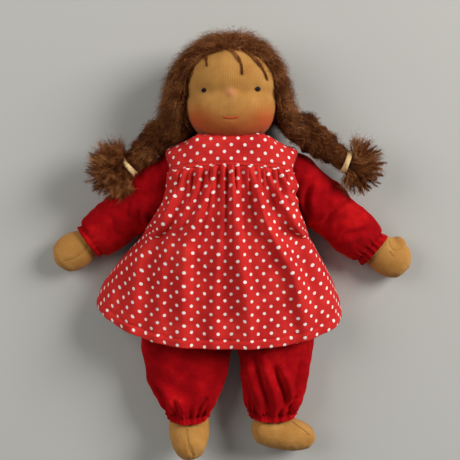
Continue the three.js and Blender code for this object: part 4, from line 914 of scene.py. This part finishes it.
def creased(grid, out, creases):
    """Sinks valleys into a grid along paths in plan, and raises the cloth beside them."""
    moved = np.zeros(grid.shape[:2])
    steps = 40
    for places, depth, width, ridge in creases:
        line = through(places, steps)
        gap = grid[..., None, :2] - line
        away = np.linalg.norm(gap, axis=-1)
        nearest = away.argmin(-1)
        distance = away.min(-1)
        tangent = unit(np.gradient(line, axis=0))[nearest]
        offset = np.take_along_axis(gap, nearest[..., None, None], -2)[..., 0, :]
        hand = np.sign(tangent[..., 0] * offset[..., 1] - tangent[..., 1] * offset[..., 0]) * distance
        share = nearest / (steps - 1)
        fade = depth * smooth(share, 0, 0.3) * (1 - smooth(share, 0.7, 1)) * bell(distance, 7 * width)
        beside = bell(hand - 2.4 * width, 1.6 * width) + 0.35 * bell(hand + 2.4 * width, 1.6 * width)
        moved += fade * (ridge * beside - bell(distance, width))
    return raised(grid, out, moved * smooth(out[..., 2], -0.1, 0.4))


def stitches(name, line, length, material, slot, bodies, radius):
    """Running stitches along a line of points, as small separate threads."""
    distance = np.concatenate([[0], np.cumsum(np.linalg.norm(np.diff(line, axis=0), axis=1))])
    grids = []
    for start in np.arange(0.4, distance[-1] - length, length * 1.45):
        at = start + np.linspace(0, length, 5)
        points = np.stack([np.interp(at, distance, line[:, k]) for k in range(3)], -1)
        grids.append(tube(points, radius * np.array([0.4, 0.95, 1, 0.95, 0.4]), 5))
    return dress(joined(name, grids, material), slot, *bodies)


# Dress

# Folds of the skirt front: places across it at equal steps from the yoke to the hem, then shares of the fold
# height and of the flank towards the doll's right and left. The first six are those of the solid.
FOLD_HEIGHT = 9.5
FOLD_FLANK = 9.0
SKIRT_FOLDS = [
    ([-0.24, -0.4, -0.48, -0.42, -0.36, -0.34], 1.0, 1.0, 0.42),
    ([-0.46, -0.6, -0.67, -0.61, -0.54, -0.53], 0.6, 0.65, 0.45),
    ([-0.68, -0.83, -0.85, -0.82, -0.73, -0.72], 0.7, 0.7, 0.45),
    ([0.01, 0.06, 0.09, 0.13, 0.15, 0.16], 0.85, 0.9, 0.42),
    ([0.28, 0.43, 0.52, 0.62, 0.63, 0.66], 0.95, 0.45, 0.8),
    ([0.53, 0.75, 0.9, 0.88, 0.84, 0.83], 0.7, 0.45, 0.7),
    ([-0.124, -0.103, -0.129, -0.134, -0.128, -0.124], 0.45, 0.5, 0.4),
    ([0.742, 0.931, 1.0, 0.974, 0.92, 0.915], 0.4, 0.4, 0.6),
    ([-0.855, -0.972, -0.998, -0.95, -0.904, -0.899], 0.45, 0.65, 0.45),
]
TUCK_COUNT = 19
GATHER_COUNT = 44
HEM_RISE = 0.8


def yoke_points(u, v, front):
    """Points of the yoke: u from side to side, v from the seam to the neckline or the shoulder."""
    width = YOKE_HALF * (1 - 0.06 * v**3) * (1 - 0.01 * front) * lerp(SEAM_TAPER, 1, smooth(v, 0, 0.55))
    shoulder = smooth(np.abs(u), 0.50, 0.74)
    top_y = YOKE_NECK_Y + 0.8 - 9 * smooth(np.abs(u), 0.55, 1.0)
    if front:
        seam_y = YOKE_SEAM_Y + 1.6 - SEAM_SAG * u**2
        low = SKIRT_EDGE_Z + (SKIRT_TOP_Z + 0.6 - SKIRT_EDGE_Z) * (1 - np.abs(u) ** 2.6) ** (1 / 2.2)
        end = lerp(60.5, 33.2, shoulder)
    else:
        seam_y = YOKE_SEAM_Y - 0.5
        low = BACK_Z
        end = lerp(22.5, 32.8, shoulder)
    y = lerp(seam_y, top_y, np.sin(v * math.pi / 2) ** lerp(1.0, 0.85, shoulder))
    return np.stack([u * width, y, lerp(low, end, v ** lerp(4.5, 2.2, shoulder))], -1)


def yoke_panel(name, grid, thickness):
    uv = arc_uv(grid)
    panel = surface(name + "_cloth", grid, COTTON, uv=uv)
    thicken(panel, thickness)
    dress(panel, "cotton", "torso", nodes=[name])


def make_yoke():
    u, v = np.meshgrid(np.linspace(-1, 1, 220), np.linspace(0, 1, 72))
    grid = yoke_points(u, v, True)
    out = normals(grid)
    tucks = bell(v - 1.0, 0.16) * np.cos(52 * u + 2 * np.sin(9 * u)) * (1 - smooth(np.abs(u), 0.5, 0.62))
    pleat = bell(u - 0.42, 0.035) * smooth(v, 0.55, 1.0)
    stitched = bell(v - 0.065, 0.012)
    grid = raised(grid, out, 0.45 * tucks + 1.6 * pleat + 0.5 * ripple(grid, 26, 8) - 0.35 * stitched)
    yoke_panel("dress_yoke_front", grid, DRESS_CLOTH)
    stitches("yoke_topstitching", grid[5] + out[5] * 0.15, 2.6, RED_THREAD, "cotton", ["torso"], 0.22)
    # Narrow turned edges round the neckline and both armholes
    neckline = grid[-1, 50:170] + out[-1, 50:170] * 0.1
    rolls = [tube(line, np.full(len(line), 0.75), 8) for line in (neckline, grid[:, 0], grid[:, -1])]
    dress(joined("dress_yoke_front_edges", rolls, RED_THREAD), "cotton", "torso")

    grid = yoke_points(u, v, False)
    grid = raised(grid, -normals(grid), 0.12 * ripple(grid, 18, 9))
    yoke_panel("dress_yoke_back", keep_above(grid, 0.15), 0.6)


def side_value(u, key):
    return np.where(u < 0, getattr(SIDES["right"], key), getattr(SIDES["left"], key))


def skirt_base(u, v):
    half = lerp(YOKE_HALF * SEAM_TAPER, side_value(u, "skirt_flare"), smooth(v, 0.1, 1))
    hem = HEM_Y + side_value(u, "hem_side_rise") * np.abs(u) ** 3
    y = lerp(YOKE_SEAM_Y + 1.2 - SEAM_SAG * u**2, hem, v)
    edge = lerp(SKIRT_EDGE_Z, 1.6, smooth(-y, -14, 8))
    top = lerp(SKIRT_TOP_Z - 1.2, HEM_TOP_Z, smooth(v, 0.3, 1))
    z = edge + (top - edge) * (1 - np.abs(u) ** 2.6) ** (1 / 2.6)
    return np.stack([u * half, y, z], -1)


def skirt_folds(u, v, half):
    """How far the broad folds, the tucks below the yoke and the fine gathers stand out."""
    grow = 0.42 + 0.58 * smooth(v, 0.02, 0.3) - 0.35 * smooth(v, 0.55, 1.0)
    widen = 0.4 + 0.8 * smooth(v, 0, 0.55) + 0.5 * smooth(v, 0.5, 1.0)
    rise = np.zeros(u.shape)
    for places, high, right, left in SKIRT_FOLDS:
        line = through(places, 60)
        away = (u - np.interp(v, np.linspace(0, 1, 60), line)) * half
        rise += FOLD_HEIGHT * high * grow * bell(away, FOLD_FLANK * widen * np.where(away < 0, right, left))
    rng = np.random.default_rng(TUCK_SEED)
    for place in np.linspace(-0.95, 0.95, TUCK_COUNT) + rng.normal(0, 0.03, TUCK_COUNT):
        away = u - place * (1 + rng.uniform(0.2, 0.9) * v)
        width = np.where(away < 0, rng.uniform(0.022, 0.05), rng.uniform(0.011, 0.02)) * (1 + 2.5 * v)
        reach = rng.uniform(0.05, 0.32)
        rise += rng.uniform(4, 12) * reach**0.5 * bell(away, width) * bell(v, reach) * smooth(v, -0.01, 0.03)
    for place in np.linspace(-0.97, 0.97, GATHER_COUNT) + rng.normal(0, 0.008, GATHER_COUNT):
        rise += rng.uniform(0.3, 1.0) * bell(u - place, 0.011) * bell(v, rng.uniform(0.02, 0.07))
    return rise


def make_skirt():
    columns, rows = 330, 132
    u = np.sin(np.linspace(-0.5, 0.5, columns) * math.pi * 0.999)
    u, v = np.meshgrid(u, np.linspace(0, 1, rows))
    grid = skirt_base(u, v)
    smooth_uv = arc_uv(grid)
    out = normals(grid)
    rise = skirt_folds(u, v, grid[..., 0] / np.where(np.abs(u) < 1e-6, 1e-6, u))
    bunch = 3.2 * bell(v - 0.10, 0.035) + 2.2 * bell(v - 0.19, 0.03)
    rise += bunch * bell(u - 0.93, 0.06)
    grid[..., 0] += bunch * smooth(u, 0.7, 1.0)
    rise += 0.8 * ripple(grid, 34, 21) * smooth(v, 0.15, 0.5)
    from_hem = (1 - v) * (grid[0, :, 1] - grid[-1, :, 1])[None]
    groove_line = bell(from_hem - HEM_DEPTH - 0.4, 1.0)
    rise += HEM_RISE * (1 - smooth(from_hem, HEM_DEPTH - 0.8, HEM_DEPTH + 0.4) - groove_line)
    grid = keep_above(raised(grid, out, rise * lerp(1.0, 0.3, smooth(np.abs(u), 0.86, 1.0))), 1.3)
    flat = evened(arc_uv(grid), 45)
    cloth = surface("skirt_front_cloth", grid, COTTON, uv=lerp(smooth_uv, flat, 0.3))
    thicken(cloth, DRESS_CLOTH)
    dress(cloth, "cotton", "torso", "hips", nodes=["skirt_front"])
    row = int(np.argmin(np.abs(from_hem[:, columns // 2] - HEM_DEPTH)))
    hem_line = grid[row, 3:-3] + out[row, 3:-3] * 0.1
    hem = stitches("hem_stitching", hem_line, 2.8, RED_THREAD, "cotton", ["torso", "hips"], 0.2)


def make_skirt_back():
    u, v = np.meshgrid(np.linspace(-1, 1, 150), np.linspace(0, 1, 110))
    grid = skirt_base(u, v)
    grid[..., 1] = lerp(YOKE_SEAM_Y - 0.3, grid[-1, :, 1][None], v)
    pucker = 0.5 * ripple(grid * [1, 0.3, 0], 9, 12) * bell(v, 0.35) + 0.25 * ripple(grid * [1, 1, 0], 26, 13)
    grid[..., 2] = BACK_Z + np.clip(pucker, -0.1, 0.4)
    uv = arc_uv(grid)
    cloth = surface("skirt_back_cloth", grid, COTTON, uv=uv)
    thicken(cloth, 0.7)
    dress(cloth, "cotton", "torso", "hips", nodes=["skirt_back"])


# Romper

# Creases in plan: places, depth, width and ridge
SLEEVE_CREASES = {
    "right": [
        ([(-95, 30), (-96.5, 20), (-96, 8)], 1.7, 2.0, 0.8),
        ([(-87, 22), (-86, 14), (-82, 4)], 2.0, 2.2, 0.8),
        ([(-72, 52), (-78, 40), (-79, 28)], 1.1, 3.0, 0.6),
        ([(-118, 22), (-112, 10), (-110, -2)], 0.8, 3.0, 0.6),
    ],
    "left": [
        ([(114, 31), (104, 25), (94, 17), (86, 7)], 4.2, 2.0, 1.1),
        ([(82, 54), (73, 43), (70, 31), (70, 16)], 2.6, 2.6, 1.1),
        ([(129, 4), (116, -1), (106, -5), (99, -13)], 3.0, 2.2, 0.9),
        ([(102, 45), (97, 38), (86, 32)], 1.8, 2.4, 0.8),
    ],
}
TROUSER_CREASES = {
    "right": [
        ([(-72, -146), (-65, -158), (-57, -170)], 4.0, 2.6, 0.9),
        ([(-56, -156), (-51, -165), (-48, -174)], 3.0, 2.2, 0.8),
        ([(-20, -154), (-27, -163), (-31, -173)], 3.8, 2.4, 0.8),
        ([(-10, -122), (-15, -140), (-22, -156)], 1.8, 3.2, 0.8),
    ],
    "left": [
        ([(20, -112), (27, -134), (33, -154), (37, -173)], 4.8, 3.0, 0.9),
        ([(38, -120), (46, -140), (51, -156), (50, -174)], 5.6, 2.8, 0.9),
        ([(8, -112), (11, -135), (17, -154), (23, -170)], 3.2, 3.0, 0.8),
        ([(66, -110), (64, -130), (60, -150), (57, -170)], 3.0, 3.4, 0.8),
        ([(63, -154), (57, -161), (54, -172)], 4.2, 2.0, 0.8),
    ],
}
CUFF_THICK = 28.9
SEAT_HALF = 33.5
ANKLE_THICK = 33.0
LEG_BLEND = {"start": (0, -0.044, 0.02), "end": (0, -0.075, 0.02)}


def make_trunk():
    rows = []
    for y in np.linspace(84, -47, 90):
        share = (84 - y) / 131
        neck = bell(share, 0.06)
        wide = lerp(46, 66, smooth(share, 0.55, 1)) * (1 - 0.42 * neck)
        top = lerp(61.5, 53, smooth(share, 0.6, 1)) - 8 * neck
        rows.append(section(np.array([0, y, (top + 1.5) / 2]), -90, 0, wide, (top - 1.5) / 2, 2.5, 128))
    grid = np.array(rows)
    grid = keep_above(raised(grid, normals(grid, True), 0.8 * ripple(grid, 24, 30)), 1.5)
    trunk = surface("romper_trunk", grid, VELOUR, True, arc_uv(grid, True))
    dress(trunk, "velour", "torso", "hips", nodes=["romper_body", "romper_seat"])


def arm_line(s):
    heading = heading_out(s, s.arm_angle)
    return heading, np.array([s.side * ARMHOLE_X, s.armhole_y, 0]), plan_way(heading)


def turned_in(grid, middle, way, steps, *first):
    """Adds rings that turn the end of a tube in on itself, each a step along a way and shrunk."""
    edge, middle = grid[-1:], middle[-1:]
    rings = [middle + (edge - middle) * shrink + way * step for step, shrink in steps]
    return np.concatenate([grid, *first, *rings], 0)


def make_sleeve(name, s):
    heading, root, along = arm_line(s)
    plane = 0 if s.side > 0 else 180
    length = s.sleeve_length
    # Share of the length, width, height and how far the section has turned towards the arm's heading
    stations = [
        (-0.16, s.armhole_width * 0.9, 40, 0.0),
        (0.0, s.armhole_width * 0.99, 42.5, 0.0),
        (0.3, lerp(s.armhole_width, s.elbow_width, 0.72), 41.5, 0.7),
        (0.6, s.elbow_width * 1.01, 37.5, 1.0),
        (0.84, s.elbow_width * 0.97, 34, 1.0),
        (0.93, s.elbow_width * 0.86, 31, 1.0),
        (0.965, s.cuff_width * 0.9, CUFF_THICK * 0.94, 1.0),
        (1.0, s.cuff_width * 1.02, CUFF_THICK * 1.02, 1.0),
        (1.0 + s.frill / length, s.cuff_width * 1.05, CUFF_THICK * 1.05, 1.0),
    ]
    columns = 150
    table = through(stations, 150)
    rows = []
    for share, wide, high, turned in table:
        at = root + along * share * length + UP * (0.5 - smooth(share, 0.0, 0.3) + high / 2)
        turn = lerp(plane, heading, np.clip(turned, 0, 1))
        rows.append(section(at, turn, 0, wide / 2, high / 2, 2.15, columns))
    grid = np.array(rows)
    share = table[:, :1]
    angle = around(columns, 0.5)
    out = normals(grid, True)
    middle = grid.mean(1, keepdims=True)
    beat = np.cos(19 * angle + 1.9 * np.sin(3 * angle) + 1.1 * np.sin(5 * angle) + s.side)[None]
    beat2 = np.cos(31 * angle + 2.4 * np.sin(2 * angle) + np.sin(7 * angle))[None]
    pleats = 0.7 * bell(share - 0.96, 0.06) * beat + 0.5 * bell(share - 0.965, 0.035) * beat2
    gather = s.cuff_gather * pleats
    ruffle = 0.24 * s.frill * smooth(share, 0.975, 1.03) * (beat * 0.8 + 0.5 * beat2)
    roll = 1.1 * bell(share - 0.985, 0.012) * (s.frill < 1)
    soft = 1.1 * ripple(grid, 38, 40 + s.side) * (1 - smooth(share, 0.8, 0.97))
    grid = creased(raised(grid, out, gather + ruffle + roll + soft), out, SLEEVE_CREASES[name])
    lip = grid[-1:] + (grid[-1:] - grid[-2:-1]) * 0.3
    grid = keep_above(turned_in(grid, middle, -along, ((1.5, 0.985), (5.0, 0.93), (9.0, 0.86)), lip), 0.15)
    sleeve = surface(name + "_sleeve_cloth", grid, VELOUR, True, arc_uv(grid, True))
    ends = {key: (s.side * (ARMHOLE_X + shift) * MM, s.armhole_y * MM, 0.02)
            for key, shift in (("start", -10), ("end", 12))}
    nodes = [name + "_sleeve", name + "_cuff_elastic"]
    dress(sleeve, "velour", "torso", name + "_arm", nodes=nodes, blend=ends)


def make_trouser(name, s):
    low, high = corners(name + "_trouser")
    top_y = high[1]
    length = top_y - low[1] - 5.0
    wide, thick, half = s.gather_width / 2, ANKLE_THICK, s.leg_width / 2
    # Share of the length, place outwards, half width and height
    stations = [
        (-0.03, SEAT_HALF, SEAT_HALF, 52),
        (0.0, SEAT_HALF, SEAT_HALF, 52),
        (0.2, lerp(SEAT_HALF, s.leg_x, 0.7), lerp(SEAT_HALF, half, 0.75), 47.5),
        (0.46, s.leg_x, half, 42.5),
        (0.72, lerp(s.leg_x, s.ankle_x, 0.3), s.leg_width * 0.44, 39),
        (0.87, lerp(s.leg_x, s.ankle_x, 0.8), s.leg_width * s.calf_share, 38),
        (0.945, s.ankle_x, wide * 1.16, thick * 1.06),
        (0.975, s.ankle_x, wide * 0.98, thick * 0.96),
        (1.0, s.ankle_x, wide * 1.04, thick),
        (1.016, s.ankle_x, wide * 1.06, thick * 1.03),
    ]
    columns = 176
    table = through(stations, 170)
    rows = []
    for share, x, half, high in table:
        floor = lerp(0.9, -0.4, smooth(share, 0, 0.5))
        at = np.array([s.side * x + 4 * bell(share - 0.15, 0.25), top_y - length * share, floor + high / 2])
        rows.append(section(at, -90, 0, half, high / 2, 2.2, columns))
    grid = np.array(rows)
    share = table[:, :1]
    angle = around(columns, 0.5)
    middle = grid.mean(1, keepdims=True)
    out = normals(grid, True)
    beat = np.cos(17 * angle + 2.2 * np.sin(2 * angle + s.side) + 1.3 * np.sin(5 * angle))[None]
    beat2 = np.cos(31 * angle + 2.5 * np.sin(3 * angle) + np.sin(7 * angle))[None]
    pleats = 1.5 * bell(share - 0.945, 0.06) * beat + 0.7 * bell(share - 0.965, 0.03) * beat2
    ruffle = 0.6 * smooth(share, 0.975, 1.012) * (0.7 * beat + 0.6 * beat2)
    soft = 1.3 * ripple(grid, 46, 60 + s.side) * (1 - smooth(share, 0.75, 0.95))
    grid = raised(grid, out, pleats + ruffle + soft)
    above = np.maximum(grid[..., 2] - middle[..., 2], 0) / 17
    grid[..., 1] -= s.hem_tilt * above * smooth(share, 0.6, 1.0)
    grid[..., 2] += s.hem_lift * above * smooth(share, 0.8, 1.0)
    grid = creased(grid, out, TROUSER_CREASES[name])
    grid = turned_in(grid, middle, np.array([0, 1, 0]), ((0.6, 0.98), (3.5, 0.92), (9.0, 0.84)))
    grid = keep_above(grid, lerp(0.15, 1.6, smooth(grid[..., 1], -118, -108)))
    trouser = surface(name + "_trouser_cloth", grid, VELOUR, True, arc_uv(grid, True))
    nodes = [name + "_trouser", name + "_ankle_elastic"]
    dress(trouser, "velour", "hips", name + "_leg", nodes=nodes, blend=LEG_BLEND)


# Hands and feet

# Along the palm from the cuff: distance, width and height
PALM = [
    (-8, 23, 22), (0, 28, 24), (7, 35, 26.5), (16, 39.5, 27.5),
    (25, 38.5, 26.5), (34, 32, 23.5), (41.5, 22, 18),
]
PALM_Z = 13.2
# Along the thumb: share of its length and width
THUMB = [(0.05, 15), (0.4, 16.5), (0.75, 15.5), (1.03, 13)]
# Seams on the back of each hand: distances from the cuff towards the fingers and towards the thumb
THUMB_SEAMS = {
    "right": [(-3, 2.4), (2.8, 4.2), (7.4, 6.1), (12.4, 6.6), (17, 6.7)],
    "left": [(10, 14.5), (13.5, 9.5), (17.5, 7.5), (21.5, 9.5), (25, 13.5)],
}
HAND_SEAMS = {
    "right": [(29.3, 2.8), (24.8, 4.9), (20.3, 6.2), (15.8, 6.6), (12.2, 6.3)],
    "left": [(14, 5), (17, 3), (20.5, 2)],
}
ANKLE_Y = -176.0
ANKLE_Z = 16.0
# Each foot: pitch and heading, where it starts from the ankle, then distance, width and height along it.
# The right foot points up out of the trouser, and the left one lies on its side.
FEET = {
    "right": (50.0, -84.0, (0, -3.5, -7.0), [
        (-12, 31, 22), (0, 37, 25), (14, 39, 27), (27, 35.5, 27), (38, 28.5, 25), (48, 20, 20)]),
    "left": (0.0, -11.0, (-20.5, -10.4, 2.0), [
        (1, 22, 28), (9, 29, 34), (21, 32, 37), (35, 32, 36.5), (48, 28, 32), (57, 21, 25), (63, 13, 16)]),
}
FOOT_SEAMS = {
    "right": [(-41.2, -184), (-40.2, -190), (-38.8, -197), (-36.6, -204), (-34.2, -211)],
    "left": [(57.5, -179.5), (64, -183.5), (70, -188), (75.5, -194)],
}


def loft(stations, columns, pitch=0.0, power=2.0):
    """A closed form through stations (place, heading, width, height), rounded at both ends."""
    table = through([(*place, heading, wide, high) for place, heading, wide, high in stations], 36)
    cap = np.sin(np.linspace(0.1, 0.5, 7) * math.pi)
    ends = np.concatenate([cap, np.ones(len(table) - 2 * len(cap)), cap[::-1]])
    return np.array([
        section(row[:3], row[3], pitch, row[4] / 2 * end, row[5] / 2 * end, power, columns)
        for row, end in zip(table, ends)])


def rounded(forms, name, smoothing):
    """Closed lofts grown together into one stuffed skin."""
    obj = joined(name, forms, SKIN)
    remesh = obj.modifiers.new("skin", "REMESH")
    remesh.mode = "VOXEL"
    remesh.voxel_size = 0.9 * MM
    remesh.use_smooth_shade = True
    soften = obj.modifiers.new("soft", "SMOOTH")
    soften.factor = 0.6
    soften.iterations = smoothing
    settle(obj)
    obj.data.materials.clear()
    obj.data.materials.append(SKIN)
    return obj


def mesh_points(obj):
    flat = np.zeros(len(obj.data.vertices) * 3, np.float32)
    obj.data.vertices.foreach_get("co", flat)
    return flat.reshape(-1, 3).astype(float) / MM


def set_points(obj, points):
    obj.data.vertices.foreach_set("co", (points * MM).astype(np.float32).ravel())
    obj.data.update()


def dimpled(obj, middle, depth, scale, seed):
    """Makes a stuffed skin a little uneven."""
    points = mesh_points(obj)
    middle = points.mean(0) if middle is None else middle
    set_points(obj, keep_above(raised(points, unit(points - middle), depth * ripple(points, scale, seed))))


def project_uv(obj, origin, way, radius=17):
    """UVs of a remeshed skin: arc lengths round an axis and along it, parting on the underside."""
    points = mesh_points(obj) - origin
    side = unit(np.cross(way, UP))
    up = np.cross(side, way)
    uv = np.stack([radius * np.arctan2(points @ side, points @ up), points @ way], -1)
    index = np.zeros(len(obj.data.loops), np.int32)
    obj.data.loops.foreach_get("vertex_index", index)
    layer = obj.data.uv_layers.new(name="cloth")
    layer.data.foreach_set("uv", (uv[index] * MM).astype(np.float32).ravel())


def groove(points, line, depth, width):
    """Sinks a seam into points along a line in space."""
    steps = 60
    away = np.linalg.norm(points[:, None] - through(line, steps)[None], axis=2)
    share = away.argmin(1) / (steps - 1)
    amount = depth * bell(away.min(1), width) * smooth(share, 0, 0.08) * (1 - smooth(share, 0.92, 1.0))
    return raised(points, unit(points.mean(0) - points), amount)


def surface_line(obj, places):
    """Drops places in plan onto the top of an object, as points in space."""
    points = mesh_points(obj)
    line = []
    for x, y in places:
        near = np.argsort(np.hypot(points[:, 0] - x, points[:, 1] - y))[:30]
        line.append((x, y, points[near, 2].max()))
    return np.array(line)


def seam_stitches(name, obj, places, count, lift, length, body, radius):
    line = through(surface_line(obj, places), count) + UP * lift
    stitches(name, line, length, SEAM_THREAD, "thread", [body], radius)


def make_hand(name, s):
    heading, root, along = arm_line(s)
    hand_heading = heading_out(s, s.hand_angle)
    forward = plan_way(hand_heading)
    cuff = root + along * s.sleeve_length
    level = UP * PALM_Z
    size = s.hand_size
    palm = [(cuff + forward * d * size + level, hand_heading, wide * size, high) for d, wide, high in PALM]
    thumb_heading = hand_heading + s.thumb_angle
    thumb_base = cuff + forward * 13 + level
    thumb_way = plan_way(thumb_heading) * s.thumb_length + UP * 2.0
    thumb = [(thumb_base + thumb_way * share, thumb_heading, wide, wide) for share, wide in THUMB]
    arm = [(cuff + along * d + level + UP, heading, 23, 23) for d in (-70, -40, -12, 2)]
    hand = rounded([loft(palm, 48), loft(thumb, 32), loft(arm, 32)], name + "_hand", 20)
    dimpled(hand, centre(name + "_arm"), 0.25, 12, 50)
    plan = np.array([forward[:2], left_of(forward)[:2]])
    thumb_seam = cuff[:2] + np.array(THUMB_SEAMS[name]) @ plan
    hand_seam = cuff[:2] + np.array(HAND_SEAMS[name]) @ plan
    thumb_line, hand_line = surface_line(hand, thumb_seam), surface_line(hand, hand_seam)
    set_points(hand, groove(groove(mesh_points(hand), thumb_line, 1.5, 2.0), hand_line, 0.7, 1.3))
    project_uv(hand, cuff + level * 0.6, forward)
    body = name + "_arm"
    dress(hand, "skin", body, nodes=[body], fill=0.85)
    seam_stitches(name + "_hand_stitches", hand, hand_seam, 40, 0.1, 1.7, body, 0.2)
    seam_stitches(name + "_thumb_stitches", hand, thumb_seam, 40, 0.05, 1.6, body, 0.13)


def make_foot(name, s):
    ankle = np.array([s.side * s.ankle_x, ANKLE_Y, ANKLE_Z])
    pitch, heading, start, shape = FEET[name]
    start = ankle + start
    way = plan_way(heading) * math.cos(math.radians(pitch)) + UP * math.sin(math.radians(pitch))
    foot = [(start + way * d, heading, wide, high) for d, wide, high in shape]
    leg = [(ankle + [0, d, 0], -90, 27, 27) for d in (60, 30, 8, -6)]
    obj = rounded([loft(foot, 52, pitch, 2.15), loft(leg, 36)], name + "_foot", 14)
    dimpled(obj, None, 0.3, 14, 70)
    set_points(obj, groove(mesh_points(obj), surface_line(obj, FOOT_SEAMS[name]), 1.7, 1.3))
    project_uv(obj, start - UP * 3, way)
    body = name + "_leg"
    dress(obj, "skin", body, nodes=[body], fill=0.85)
    seam_stitches(name + "_foot_seam", obj, FOOT_SEAMS[name], 50, 0.05, 1.5, body, 0.28)


# Pieces that the solids keep, and what they are made of
KEPT_NODES = {
    "head_wool": WOOL, "nose_bead": WOOL, "eye_line_thread": LINEN, "neck_tie": LINEN,
    "torso": SKIN, "hip_seam": SKIN, "nape_button": BUTTON,
}


def finish_cad_nodes():
    for node, material in KEPT_NODES.items():
        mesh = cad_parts[node].data
        mesh.materials.clear()
        mesh.materials.append(material)


# Stage

FLOOR_SIZE = 4000
FLOOR_DROP = 0.3
# Place in metres, size in metres and power in watts
LAMPS = {"key": ((1.75, 0.84, 1.25), 1.1, 64.0), "fill": ((-1.2, 0.5, 1.1), 1.2, 15.0)}
CAMERA_PLACE = (-0.9, 1.9, 950)
FRAME_WIDTH = 431.0
FRAME_AT_Z = 40


def make_camera():
    camera = bpy.data.cameras.new("camera")
    camera.angle = 2 * math.atan(FRAME_WIDTH / 2 / (CAMERA_PLACE[2] - FRAME_AT_Z))
    obj = bpy.data.objects.new("camera", camera)
    obj.location = [length * MM for length in CAMERA_PLACE]
    bpy.context.scene.collection.objects.link(obj)
    bpy.context.scene.camera = obj


def make_stage():
    floor = Shader("floor", Roughness=0.95, Specular_IOR_Level=0.1, Base_Color=(0.44, 0.43, 0.395, 1))
    corner = [(x * FLOOR_SIZE, y * FLOOR_SIZE, -FLOOR_DROP) for x, y in ((-1, -1), (1, -1), (1, 1), (-1, 1))]
    new_object("floor", corner, [[0, 1, 2, 3]], floor.material)
    for name, (place, size, power) in LAMPS.items():
        lamp = bpy.data.lights.new(name, "AREA")
        lamp.size = size
        lamp.energy = power
        obj = bpy.data.objects.new(name, lamp)
        obj.location = place
        obj.rotation_euler = (-Vector(place)).to_track_quat("-Z", "Y").to_euler()
        bpy.context.scene.collection.objects.link(obj)
    world = bpy.data.worlds.new("studio")
    world.use_nodes = True
    background = world.node_tree.nodes["Background"]
    background.inputs["Color"].default_value = (0.80, 0.82, 0.85, 1)
    background.inputs["Strength"].default_value = 0.2
    bpy.context.scene.world = world
    bpy.context.scene.view_settings.view_transform = "Standard"


make_camera()
make_stage()
make_head()
make_eyes()
make_mouth()
make_yoke()
make_skirt()
make_skirt_back()
make_trunk()
make_fringe()
for side_name, side_values in SIDES.items():
    make_hair(side_name, side_values)
    make_braid(side_name, side_values)
    make_sleeve(side_name, side_values)
    make_hand(side_name, side_values)
    make_trouser(side_name, side_values)
    make_foot(side_name, side_values)
finish_cad_nodes()
